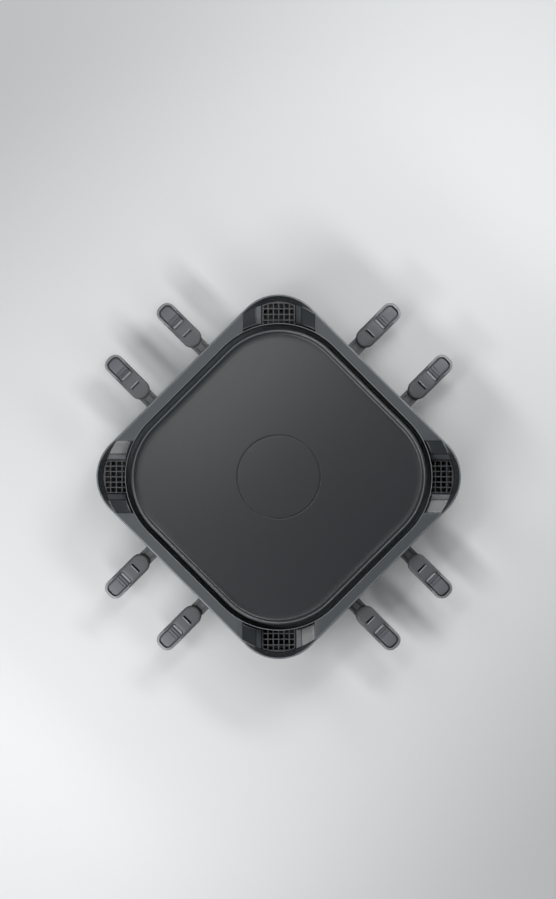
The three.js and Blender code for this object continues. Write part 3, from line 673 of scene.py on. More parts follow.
class Shader(Nodes):
    """A material with a Principled surface."""

    def __init__(self, name: str) -> None:
        """Starts the material.

        Args:
            name: Its name.
        """
        self.material = bpy.data.materials.new(name)
        self.material.use_nodes = True
        super().__init__(self.material.node_tree)
        self.tree.nodes.clear()
        self.surface = self.node("ShaderNodeBsdfPrincipled")
        self.node("ShaderNodeOutputMaterial", inputs={"Surface": self.surface.outputs[0]})
        self.place = self.node("ShaderNodeTexCoord").outputs["Object"]

    def noise(self, size: float, detail: float = 3.0, stretch: Sequence[float] = (1, 1, 1)) -> Value:
        """Cloudy variation from 0 to 1.

        Args:
            size: The size of its clouds, in metres.
            detail: How fine it goes.
            stretch: How much it is drawn out along each axis.

        Returns:
            The variation.
        """
        scale = [1 / (size * factor) for factor in stretch]
        mapping = self.node("ShaderNodeMapping", inputs={"Vector": self.place, "Scale": scale})
        noise = self.node("ShaderNodeTexNoise", inputs={
            "Vector": mapping.outputs[0], "Scale": 1.0, "Detail": detail})
        return Value(self, noise.outputs[0])

    def blend(self, share: Value, first: Colour, second: Colour) -> bpy.types.NodeSocket:
        """A colour between two.

        Args:
            share: How much of the second colour there is.
            first: The colour at no share.
            second: The colour at full share.

        Returns:
            The colour's socket.
        """
        mix = self.node("ShaderNodeMix", {"data_type": "RGBA"},
                        {0: share, 6: (*first, 1), 7: (*second, 1)})
        return mix.outputs[2]

    def relief(self, height: Value, depth: float) -> None:
        """Gives the surface a bump of some depth, in metres."""
        bump = self.node("ShaderNodeBump", inputs={"Height": height, "Distance": depth})
        self.plug(self.surface.inputs["Normal"], bump.outputs[0])

    def set(self, **inputs: object) -> None:
        """Sets or links inputs of the surface, with _ for a space in their names."""
        for name, value in inputs.items():
            self.plug(self.surface.inputs[name.replace("_", " ")], value)


def linear(colour: Colour) -> Colour:
    """A colour's linear shares from its screen values of 0 to 255."""
    shares = [value / 255 for value in colour]
    return tuple(s / 12.92 if s <= 0.04045 else ((s + 0.055) / 1.055) ** 2.4 for s in shares)


@dataclass(frozen=True)
class Finish:
    """What every finish has: a name, a screen colour, its mottling and its gloss."""

    name: str
    colour: Colour
    roughness: float
    mottle: float = 0.06
    metallic: float = 0.0
    grain: float = 0.5 * MM
    depth: float = 0.02 * MM

    def material(self) -> bpy.types.Material:
        """The finish's material, made once.

        Returns:
            The material.
        """
        made = bpy.data.materials.get(self.name)
        if made is None:
            shader = Shader(self.name)
            self.paint(shader)
            made = shader.material
        return made

    def tones(self) -> tuple[Colour, Colour]:
        """The darkest and the lightest tone of the mottling."""
        base = linear(self.colour)
        return tuple(c * (1 - self.mottle) for c in base), tuple(c * (1 + self.mottle) for c in base)

    def paint(self, shader: Shader) -> None:
        """Builds the nodes. The plain kind is a fine even grain.

        Args:
            shader: The material to build.
        """
        cloud = shader.noise(35 * MM)
        fine = shader.noise(self.grain, detail=4.0)
        shader.set(Base_Color=shader.blend(cloud, *self.tones()), Metallic=self.metallic,
                   Roughness=self.roughness - 0.05 + 0.1 * fine)
        shader.relief(fine, self.depth)


@dataclass(frozen=True)
class MouldedPlastic(Finish):
    """Satin heat-proof plastic from a spark-eroded mould."""

    def paint(self, shader: Shader) -> None:
        """Builds a pebbled grain with a faint flow of the melt.

        Args:
            shader: The material to build.
        """
        flow = shader.noise(60 * MM, stretch=(3, 1, 1))
        grain = shader.noise(self.grain, detail=2.0)
        wear = shader.noise(9 * MM, detail=5.0)
        shader.set(Base_Color=shader.blend(flow * 0.6 + wear * 0.4, *self.tones()),
                   Roughness=self.roughness - 0.04 + 0.05 * wear + 0.03 * grain)
        shader.relief(grain, self.depth)


@dataclass(frozen=True)
class NonStickCoating(Finish):
    """Baked coating on metal, with fine lighter specks."""

    speck: float = 0.5

    def paint(self, shader: Shader) -> None:
        """Builds the sprayed orange-peel skin and its specks.

        Args:
            shader: The material to build.
        """
        peel = shader.noise(self.grain, detail=2.0)
        cloud = shader.noise(80 * MM)
        fine = shader.noise(0.35 * MM, detail=1.0)
        stops = ((0.66, (0, 0, 0)), (0.74, (1, 1, 1)))
        specks = shader.node("ShaderNodeValToRGB", {"stops": stops}, {"Fac": fine})
        share = Value(shader, specks.outputs[0]) * self.speck + 0.5 * cloud
        shader.set(Base_Color=shader.blend(share, *self.tones()), Metallic=self.metallic,
                   Roughness=self.roughness - 0.03 + 0.06 * peel)
        shader.relief(peel, self.depth)


@dataclass(frozen=True)
class SheetMetal(Finish):
    """Bare rolled metal with its drawing lines."""

    stretch: tuple[float, float, float] = (30, 1, 1)

    def paint(self, shader: Shader) -> None:
        """Builds long fine lines and a cloudy tarnish.

        Args:
            shader: The material to build.
        """
        lines = shader.noise(self.grain, detail=3.0, stretch=self.stretch)
        tarnish = shader.noise(25 * MM, detail=5.0)
        shader.set(Base_Color=shader.blend(0.5 * lines + 0.5 * tarnish, *self.tones()),
                   Metallic=self.metallic, Roughness=self.roughness - 0.08 + 0.1 * lines + 0.08 * tarnish)
        shader.relief(lines, self.depth)


@dataclass(frozen=True)
class HeatedSheath(Finish):
    """A heater's steel sheath, blued and browned in patches."""

    scale_colour: Colour = (64, 58, 66)

    def paint(self, shader: Shader) -> None:
        """Builds the oxide patches over the drawn tube.

        Args:
            shader: The material to build.
        """
        patches = shader.noise(18 * MM, detail=6.0)
        fine = shader.noise(self.grain, detail=3.0)
        shader.set(Base_Color=shader.blend(patches, linear(self.colour), linear(self.scale_colour)),
                   Metallic=self.metallic, Roughness=self.roughness + 0.2 * patches - 0.1)
        shader.relief(fine, self.depth)


@dataclass(frozen=True)
class LampLens(Finish):
    """Clear coloured plastic, moulded with fine rings."""

    def paint(self, shader: Shader) -> None:
        """Builds the lens with a glassy coat.

        Args:
            shader: The material to build.
        """
        rings = shader.noise(self.grain, detail=1.0)
        shader.set(Base_Color=shader.blend(rings, *self.tones()), Roughness=self.roughness + 0.05 * rings,
                   Transmission_Weight=0.35, Coat_Weight=0.6)
        shader.relief(rings, self.depth)


# Glossy as the real pockets are, and darker than the frame's satin as painted shade in the recesses.
POLISHED_POCKET_PAINTED_SHADE = MouldedPlastic("housing_polished_painted_shade", (48, 51, 54), 0.25, grain=0.6 * MM, depth=0.004 * MM)
# Lighter than the pocket: painted light on the slot lips and on the steep facets beside the grille.
POCKET_LIP_PAINTED_LIGHT = MouldedPlastic("pocket_lip_painted_light", (74, 77, 81), 0.32, grain=0.6 * MM, depth=0.004 * MM)
# Lighter than the frame's satin: a painted highlight along its rounded outer and well edges.
HOUSING_EDGE_HIGHLIGHT = MouldedPlastic("housing_edge_painted_highlight", (114, 119, 123), 0.4, grain=0.6 * MM)
# Lighter than the plate: a painted highlight on the crest of the rim.
PLATE_CREST_HIGHLIGHT = NonStickCoating("plate_crest_painted_highlight", (92, 96, 100), 0.24, grain=0.9 * MM, depth=0.002 * MM)
PAN_NECK = NonStickCoating("neck_enamel", (97, 100, 103), 0.45)
# Lighter than the pad: a painted highlight on the insert's first ridge.
INSERT_RIDGE_HIGHLIGHT = MouldedPlastic("insert_ridge_painted_highlight", (160, 162, 167), 0.4, grain=0.5 * MM)
# Lighter than the grip: a painted highlight on the tip's rim and on the bead beside the slot.
GRIP_EDGE_HIGHLIGHT = MouldedPlastic("grip_edge_painted_highlight", (156, 158, 162), 0.38, grain=0.7 * MM)


class Look(Enum):
    """The finishes of the grill, each with the name of a slot, which the script carries but does not use.
    """

    HOUSING = ("housing_plastic", MouldedPlastic("housing_satin", (68, 72, 76), 0.48, grain=0.6 * MM))
    BASE = ("base_plastic", MouldedPlastic("base_satin", (33, 34, 37), 0.5, grain=0.6 * MM))
    DECK = ("deck_metal", NonStickCoating("deck_coating", (34, 34, 36), 0.45, metallic=0.1))
    FOOT = ("foot_rubber", Finish("foot_matt_rubber", (24, 24, 25), 0.85, grain=0.9 * MM, depth=0.05 * MM))
    SCREW = ("screw_steel", SheetMetal("screw_zinc", (168, 168, 170), 0.32, metallic=1.0))
    GRILLE = ("grille_plastic", MouldedPlastic("grille_satin", (68, 69, 72), 0.4, grain=0.5 * MM))
    SHEET = ("sheet_steel", SheetMetal("aluminised_sheet", (176, 176, 178), 0.34, metallic=1.0))
    SHEATH = ("element_sheath", HeatedSheath("heater_sheath", (104, 96, 88), 0.45, metallic=0.85))
    PLATE = ("plate_coating", NonStickCoating("plate_nonstick", (46, 49, 52), 0.33,
                                              grain=0.9 * MM, depth=0.004 * MM))
    PAN = ("pan_coating", NonStickCoating("pan_nonstick", (38, 38, 40), 0.42, metallic=0.15))
    GRIP = ("grip_plastic", MouldedPlastic("grip_matt", (89, 91, 95), 0.46, grain=0.7 * MM))
    PAD = ("pad_rubber", Finish("pad_soft_touch", (102, 103, 109), 0.5, grain=0.4 * MM))
    KNOB = ("knob_plastic", MouldedPlastic("knob_satin", (62, 63, 66), 0.42))
    SWITCH = ("switchgear", Finish("insulating_plastic", (168, 163, 148), 0.6))
    LAMP = ("lamp_lens", LampLens("amber_lens", (214, 92, 22), 0.12))
    INLET = ("inlet_plastic", MouldedPlastic("inlet_black", (30, 30, 31), 0.45))
    BRASS = ("pin_brass", SheetMetal("plain_brass", (196, 158, 84), 0.3, metallic=1.0))
    LIVE = ("lead_live", Finish("brown_silicone", (62, 38, 28), 0.6))
    NEUTRAL = ("lead_neutral", Finish("blue_silicone", (26, 38, 62), 0.6))

    def on(self, piece: Piece, body: str, *nodes: str, more: Sequence[Finish] = ()) -> None:
        """Dresses a new piece and puts it on its body.

        Args:
            piece: The piece.
            body: The body that it moves with.
            nodes: The frame's nodes that it stands for.
            more: The finishes of the faces that have the numbers from 1 on.
        """
        slot, finish = self.value
        for polygon in piece.data.polygons:
            polygon.use_smooth = True
        piece.data.set_sharp_from_angle(angle=SHARP_ANGLE)
        for each in (finish, *more):
            piece.data.materials.append(each.material())
        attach(piece, body)
        if nodes:
            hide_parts(*nodes)
        log.info("%s on %s: %d faces", piece.name, body, len(piece.data.polygons))

    def on_copies(self, pattern: Piece, places: Sequence[Matrix], name: str, body: str, node: str = "",
                  more: Sequence[Finish] = ()) -> None:
        """Dresses a numbered copy of a pattern at each place, and removes the pattern.

        Args:
            pattern: The piece to copy.
            places: Where the copies go.
            name: Their name before the number.
            body: The body that they move with, with {} where it has their number.
            node: The name before the number of the nodes that they stand for, if any.
            more: The finishes of the faces that have the numbers from 1 on.
        """
        for number, place in enumerate(places, 1):
            copy = copy_of(pattern, f"{name}_{number}", place)
            nodes = [f"{node}_{number}"] if node else []
            self.on(copy, body.format(number), *nodes, more=more)
        bpy.data.objects.remove(pattern)

    def redress(self, *nodes: str) -> None:
        """Gives some nodes of the frame this finish, with their shapes as they are.

        Args:
            *nodes: The nodes' names.
        """
        for node in nodes:
            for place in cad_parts[node].material_slots:
                place.material = self.value[1].material()
            log.info("%s keeps its shape", node)


# Levels and outlines read from the frame


@dataclass(frozen=True)
class Housing:
    """The outlines and levels that several sub-assemblies share."""

    corner_radius: float = 60 * MM
    well_radius: float = 101 * MM
    band: float = 15 * MM
    pocket_drop: float = 14 * MM
    seat_drop: float = 16.5 * MM
    well_wall: float = 1.3 * MM

    @property
    def top(self) -> float:
        """The height of the frame's top."""
        return box("upper_frame")[1].z

    @property
    def bottom(self) -> float:
        """The height of the frame's lower edge."""
        return box("upper_frame")[0].z

    @property
    def outer(self) -> Outline:
        """The silhouette of the frame."""
        return Outline(box("upper_frame")[1].x, self.corner_radius)

    @property
    def well(self) -> Outline:
        """The opening that the plate lies in."""
        return Outline(self.outer.half - self.band, self.well_radius)


class Zone(Enum):
    """What a stretch of the frame has across its band."""

    BAND = "flat band beside the plate"
    RAMP = "pocket without a slot"
    SLOT = "pocket with the slot beside the well"
    SEAT = "ledge under the grille"
    OPENING = "opening under the grille"


class FrameFinish(IntEnum):
    """The numbers of the frame's finishes."""

    SATIN = 0
    # Real gloss, with a darker tone as painted shade.
    POLISHED_PAINTED_SHADE = 1
    # Painted highlight on the rounded edges.
    EDGE = 2
    # Painted light on the slot lips and the steep facets.
    LIP_PAINTED_LIGHT = 3


@dataclass(frozen=True)
class Station:
    """A place along the frame: a corner, a side of its diagonal and a distance from it."""

    corner: int
    side: int
    across: float
    fan: float
    zone: Zone

    def point(self, along: float, across: float, height: float) -> Vector:
        """A point from distances along and across the corner's diagonal."""
        turn = Matrix.Rotation((self.corner + 0.5) * QUARTER, 3, "Z")
        return turn @ Vector((along, self.side * across, height))


@dataclass
class HousingFrame:
    """The one-piece moulded frame with a scooped pocket in each corner."""

    housing: Housing
    wall: float = 2.5 * MM
    edge: float = 1.6 * MM
    edge_steps: int = 5
    well_edge: float = 0.9 * MM
    well_edge_steps: int = 3
    lower_edge: float = 0.6 * MM
    flange_width: float = 13 * MM
    flange_thickness: float = 2 * MM
    flange_drop: float = 22 * MM
    slot_width: float = 1.7 * MM
    lip: float = 1.1 * MM
    ledge: float = 1.8 * MM
    # Start of the outer slope, as a share of its run and fall, and its foot's bend
    slope_bend: float = 0.12
    foot_bend: float = 0.15 * MM
    foot_share: float = 0.975
    # Start of the drop to a grille: inset from the rounded edge, drop below the frame's top
    seat_bend: tuple[float, float] = (0.3 * MM, 0.4 * MM)
    # Lip of a slot, which carries painted light: how far out it starts, and how far it sinks
    slot_shoulder: float = 1.76 * MM
    slot_sink: float = 0.77 * MM
    # Pocket across its corner: distance from the diagonal, drop below the frame's top
    valley: Sizes = mm((21.5, 14), (22.6, 10.9), (28.8, 6.9), (30.4, 5.7), (46.4, 0.9), (47.2, 0.15),
                       (47.8, 0))
    # Foot of the outer slope: distance from the diagonal, inset from the silhouette
    slope_foot: Sizes = mm((21.5, 8.5), (30, 7.2), (44, 3.6), (47, 2.7))
    # Underside of the pocket: distance from the diagonal, drop below the frame's top
    lining_under: Sizes = mm((23.5, 18.5), (31.5, 8.5), (49, 2.5))
    # Stations in half a corner: their zone and their distances from the diagonal in millimetres
    ladder: tuple[tuple[Zone, tuple[float, ...]], ...] = (
        (Zone.BAND, (47.8,)), (Zone.RAMP, (47.2, 46.5)),
        (Zone.SLOT, (46.2, 44.3, 42.43, 41, 38.5, 36, 33.5, 31.2, 30.4, 29.6, 28.8, 26.4, 24.2)),
        (Zone.RAMP, (23.9, 22.6, 21.6)), (Zone.SEAT, (21.4,)),
        (Zone.OPENING, (19.7, 16.5, 13, 9.5, 6, 3, 0)),
    )
    fan_shares: tuple[float, ...] = (1.0, 0.75, 0.5, 0.25)
    # Stretch of the steep facets beside the grille, which carry the painted light of the lips
    steep: tuple[float, float] = (22.5 * MM, 29 * MM)
    corner_cosine: float = 0.99

    def stations(self) -> list[Station]:
        """The places round the frame at which its section is drawn.

        Returns:
            The places, corner by corner.
        """
        half = [(across * MM, 0.0, zone) for zone, group in self.ladder for across in group]
        half = [(half[0][0], share, Zone.BAND) for share in self.fan_shares] + half
        return [Station(corner, side, *place) for corner in range(SIDES)
                for side, run in ((-1, half), (1, half[-2::-1])) for place in run]

    def on_outer(self, station: Station, inset: float, drop: float) -> Vector:
        """A point on a parallel of the silhouette.

        Args:
            station: The place along the frame.
            inset: How far the parallel lies inside the silhouette.
            drop: How far the point lies below the frame's top.

        Returns:
            The point.
        """
        outline, well = self.housing.outer, self.housing.well
        along, across = outline.reach(inset, station.across), station.across
        if station.fan:
            out = outline.half - inset
            start = (along - across) / SQRT2
            beside = start + (well.straight - start) * station.fan
            along, across = (out + beside) / SQRT2, (out - beside) / SQRT2
        return station.point(along, across, self.housing.top - drop)

    def on_well(self, station: Station, inset: float, drop: float) -> Vector:
        """A point on a parallel of the well's outline.

        Args:
            station: The place along the frame.
            inset: How far the parallel lies inside the outline.
            drop: How far the point lies below the frame's top.

        Returns:
            The point.
        """
        outline = self.housing.well
        radius = outline.radius - inset
        start = math.asin(station.across / radius)
        angle = start + (QUARTER / 2 - start) * station.fan
        along = outline.straight * SQRT2 + radius * math.cos(angle)
        return station.point(along, radius * math.sin(angle), self.housing.top - drop)

    def section(self, station: Station) -> Run:
        """The frame's closed section at a station, up the outside and down the inside.

        Args:
            station: The place along the frame.

        Returns:
            The section's points.
        """
        outer, well = partial(self.on_outer, station), partial(self.on_well, station)
        depth = self.housing.top - self.housing.bottom
        drop, flange_bottom = self.flange_drop, self.flange_drop + self.flange_thickness
        outside = [(self.lower_edge, depth), (0, depth - self.lower_edge),
                   *fillet(self.edge, self.edge_steps)]
        inside = [(-inset, fall) for inset, fall in reversed(fillet(self.well_edge, self.well_edge_steps))]
        inside += [(0, drop - self.edge), (self.edge / 3, drop - self.edge / 3), (self.edge, drop),
                   (self.flange_width, drop), (self.flange_width, flange_bottom),
                   (-self.housing.well_wall, flange_bottom)]
        return [*[outer(*place) for place in outside], *self.band(station),
                *[well(*place) for place in inside], *self.underside(station), outer(self.wall, depth)]

    def band(self, station: Station) -> Run:
        """The section's upper run, from the outer edge to the top of the well's wall.

        Args:
            station: The place along the frame.

        Returns:
            Its eleven points.
        """
        edge, lip, wall, seat = self.edge, self.lip, self.housing.well_wall, self.housing.seat_drop
        slot = wall + self.slot_width
        floor = between(station.across, self.valley)
        foot = between(station.across, self.slope_foot)
        if station.zone is Zone.BAND:
            far = [(edge + step * lip, 0) for step in (0.5, 1, 1.5, 2)]
            near = [(slot + 2 * lip, 0), (slot + lip, 0), (slot, 0),
                    (slot - lip, 0), (wall + lip / 2, 0), (wall, 0)]
        elif station.zone in (Zone.SEAT, Zone.OPENING):
            inset, drop = self.seat_bend
            far = [(edge + inset, drop), (foot, floor), (foot, seat), (foot + self.ledge, seat)]
            near = [(slot + 2 * lip, seat), (slot + lip, seat), (slot, seat),
                    (slot - lip, seat), (wall, seat), (wall, self.well_edge)]
        else:
            sink, low = 0.0, floor
            if station.zone is Zone.SLOT:
                sink, low = self.slot_sink, between(station.across, self.lining_under)
            far = [(edge + (foot - edge) * self.slope_bend, floor * self.slope_bend),
                   (foot - self.foot_bend, floor * self.foot_share), (foot + self.foot_bend, floor),
                   (foot + lip / 2, floor)]
            near = [(slot + self.slot_shoulder, floor), (slot + lip / 2, floor + sink / 4),
                    (slot, floor + sink), (slot, low), (wall, low), (wall, self.well_edge)]
        out = [self.on_outer(station, *place) for place in far]
        close = [self.on_well(station, -outwards, drop) for outwards, drop in near]
        return [*out, (out[-1] + close[0]) / 2, *close]

    def underside(self, station: Station) -> Run:
        """The section's lower run, from the well's wall back to the outer wall.

        Args:
            station: The place along the frame.

        Returns:
            Its four points.
        """
        wall = self.housing.well_wall
        drop = self.wall if station.zone is Zone.BAND else between(station.across, self.lining_under)
        ledge = between(station.across, self.slope_foot) + self.ledge
        return [self.on_well(station, -wall, drop), self.on_well(station, -wall - self.slot_width, drop),
                self.on_outer(station, ledge, drop), self.on_outer(station, self.wall, drop)]

    def build(self) -> Piece:
        """Lays the skin round all stations and opens the slots and the grille seats.

        Returns:
            The frame's object.
        """
        stations = self.stations()
        sections = [self.section(station) for station in stations]
        top = 2 + len(fillet(self.edge, self.edge_steps))
        top_end = top + len(self.band(stations[0]))
        under = len(sections[0]) - 1 - len(self.underside(stations[0]))
        slot_row, slot_lips = top_end - 3, (top_end - 6, top_end - 5)

        def ends(column: int) -> tuple[Station, Station]:
            """The two stations that a face lies between."""
            return stations[column], stations[(column + 1) % len(stations)]

        def zones(column: int) -> set[Zone]:
            """The zones at both ends of a face."""
            return {end.zone for end in ends(column)}

        def left_out(row: int, column: int) -> bool:
            """Tells whether a face is open: a slot, or the opening under a grille.

            Args:
                row: The face's place along the section.
                column: Its place around the frame.

            Returns:
                Whether it is left out.
            """
            if zones(column) == {Zone.SLOT}:
                return row in (slot_row, under)
            opening = top + 3 <= row < top_end - 2 or row in (under, under + 1)
            return zones(column) == {Zone.OPENING} and opening

        def finish(row: int, column: int) -> FrameFinish:
            """Chooses the finish of a face.

            Args:
                row: The face's place along the section.
                column: Its place around the frame.

            Returns:
                The finish.
            """
            # Rows of the rounded outer edge and of the well's edge carry a painted highlight.
            if 1 < row < top or top_end <= row < top_end + 2:
                return FrameFinish.EDGE
            # Slot lips and steep facets carry painted light.
            if row in slot_lips and zones(column) == {Zone.SLOT}:
                return FrameFinish.LIP_PAINTED_LIGHT
            steep = all(self.steep[0] <= end.across <= self.steep[1] for end in ends(column))
            if steep and top + 2 <= row < slot_row:
                return FrameFinish.LIP_PAINTED_LIGHT
            # The rest of the pocket is polished, and its darker tone is painted shade.
            in_pocket = Zone.BAND not in zones(column) and top <= row < top_end
            return FrameFinish.POLISHED_PAINTED_SHADE if in_pocket else FrameFinish.SATIN

        bm = skin(list(zip(*sections)), closed=True, left_out=left_out, finish=finish)
        for turn in quarter_turns(0.5):
            outwards = (turn @ Vector((1, 0, 0))).xy
            rim = [edge for edge in boundary(bm) if all(
                vert.co.xy.normalized().dot(outwards) > self.corner_cosine for vert in edge.verts)]
            bmesh.ops.bridge_loops(bm, edges=rim)
        return as_object(weld(bm), "frame_shell")

    def dress(self) -> None:
        """Builds the frame and puts it on the cooker, with its pockets polished and darkened as painted
        shade, and painted light on its edges, slot lips and steep facets.
        """
        more = (POLISHED_POCKET_PAINTED_SHADE, HOUSING_EDGE_HIGHLIGHT, POCKET_LIP_PAINTED_LIGHT)
        Look.HOUSING.on(self.build(), "cooker", "upper_frame", more=more)


@dataclass
class VentGrille:
    """A square mesh in the floor of each corner pocket."""

    housing: Housing
    fit: float = 0.3 * MM
    half_width: float = 21.2 * MM
    slope_foot: float = 8.5 * MM
    border: float = 1.1 * MM
    bar: float = 1.45 * MM
    thickness: float = 2.2 * MM
    columns: int = 6
    rows: int = 4
    first_bar: float = 5.3 * MM
    row_pitch: float = 7.4 * MM
    edge: float = 0.3 * MM
    arc_steps: int = 14

    @property
    def top(self) -> float:
        """The height of the mesh's upper side."""
        return self.housing.top - self.housing.pocket_drop

    def outer_reach(self, across: float, border: float) -> float:
        """How far out the mesh, or its holes, go beside the diagonal."""
        return self.housing.outer.reach(self.slope_foot + self.fit + border, across)

    def inner_reach(self, across: float) -> float:
        """Where the mesh starts beside the well's wall."""
        return self.housing.well.reach(-self.housing.well_wall - self.fit, across)

    def lens(self) -> BMesh:
        """The mesh before its holes: a slab between two arcs.

        Returns:
            The slab, under its upper side.
        """
        bm = bmesh.new()
        bmesh.ops.create_grid(bm, x_segments=1, y_segments=self.arc_steps, size=1.0)
        for vert in bm.verts:
            across = vert.co.y * self.half_width
            along = self.outer_reach(abs(across), 0) if vert.co.x > 0 else self.inner_reach(abs(across))
            vert.co = (along, across, self.top)
        return thickened(bm, -self.thickness)

    def hole(self, column: int, row: int) -> BMesh | None:
        """One hole's cutter.

        Args:
            column: Its place across the diagonal.
            row: Its place along the diagonal.

        Returns:
            The cutter, or nothing where the mesh has no room for the hole.
        """
        inside = 2 * (self.half_width - self.border)
        pitch = (inside + self.bar) / self.columns
        middle = (column - (self.columns - 1) / 2) * pitch
        start = self.housing.well.reach(0, 0) + self.first_bar
        near = start + (row - 1) * self.row_pitch + self.bar / 2
        far = start + row * self.row_pitch - self.bar / 2
        bm = bmesh.new()
        bmesh.ops.create_cube(bm, size=1.0)
        for vert in bm.verts:
            across = middle + vert.co.y * (pitch - self.bar)
            along = min(far, self.outer_reach(abs(across), self.border)) if vert.co.x > 0 else near
            height = self.top + CUT_MARGIN if vert.co.z > 0 else self.top - self.thickness - CUT_MARGIN
            vert.co = (along, across, height)
        if min(v.co.x for v in bm.verts if v.co.x > near + WELD) - near < self.border:
            bm.free()
            return None
        return bm

    def dress(self) -> None:
        """Builds one mesh and puts a copy in every corner."""
        holes = [self.hole(column, row) for column in range(self.columns) for row in range(self.rows)]
        cutters = joined(*[hole for hole in holes if hole is not None])
        grille = rounded(carved(as_object(self.lens(), "grille"), cutters), self.edge)
        Look.GRILLE.on_copies(grille, quarter_turns(0.5), "vent_grille", "cooker", "corner_grille")


@dataclass
class GrillPlate:
    """The cast plate: a rolled rim, a shallow dish and a fine ring in its middle."""

    housing: Housing
    gap: float = 6 * MM
    thickness: float = 6 * MM
    circle_radius: float = 54 * MM
    # Skirt from the inside: inset from the plate's outline, rise above the dish's underside
    skirt_top: Sizes = mm((7, 0), (5, -0.6), (4.2, -2.4))
    # Its lower edge: inset from the plate's outline, rise above the plate's lowest point
    skirt_foot: Sizes = mm((4, 0.4), (3.5, 0), (1.2, 0), (0.7, 0.5))
    # Rim from the outside: inset from the plate's outline, drop below its crest
    rim: Sizes = mm(
        (0.6, 20), (0.1, 6), (0, 3.4), (0.12, 2.3), (0.5, 1.3), (1.1, 0.5), (1.8, 0.12), (2.5, 0),
        (3.2, 0.12), (3.8, 0.5), (4.3, 1.3), (4.8, 2.6), (5.5, 3.7), (6.6, 4.5), (8.2, 4.9), (14, 5))
    # Rows of the rim's crest that carry a painted highlight
    crest_highlight_rows: tuple[int, int] = (7, 10)
    # Groove of the ring from its outer side to its middle: distance from the ring, drop
    groove: Sizes = mm((1.95, 0), (1.05, 0), (0.75, 0.08), (0.375, 0.7))
    flat_start: float = 16 * MM
    flat_end: float = 40 * MM
    corner_steps: int = 16
    side_steps: int = 14

    def build(self) -> Piece:
        """Skins the plate from its underside, over its rim, to the middle.

        Returns:
            The plate's object.
        """
        low, high = box("grill_plate")
        well = self.housing.well
        outline = Outline(well.half - self.gap, well.radius - self.gap)
        surface = high.z - self.rim[-1][1]
        under = surface - self.thickness
        ring = partial(outline.ring, steps=self.corner_steps, side_steps=self.side_steps)
        edge, flat = ring(0, under), ring(self.rim[-1][0], surface)

        def circle(like: Run, radius: float, height: float) -> Run:
            """A circle whose points lie in the same directions as another ring's."""
            return [Vector((*(point.xy.normalized() * radius), height)) for point in like]

        rings = [circle(edge, radius, under) for radius in (0, self.circle_radius)]
        rings += [ring(*row) for row in above(under, self.skirt_top) + above(low.z, self.skirt_foot)]
        # The crest's rows carry a painted highlight.
        light = range(len(rings) + self.crest_highlight_rows[0], len(rings) + self.crest_highlight_rows[1])
        rings += [ring(*row) for row in below(high.z, self.rim)] + [ring(self.flat_start, surface)]
        inner_half = [(-place, drop) for place, drop in reversed(self.groove)]
        for place, drop in ((self.flat_end, 0), *self.groove, *inner_half):
            rings.append(circle(flat, self.circle_radius + place, surface - drop))
        rings.append(circle(flat, 0, surface))
        return as_object(skin(rings, finish=lambda row, column: int(row in light)), "plate_casting")

    def dress(self) -> None:
        """Builds the plate and puts it on its own body."""
        Look.PLATE.on(self.build(), "plate", "grill_plate", more=[PLATE_CREST_HIGHLIGHT])


# Pans


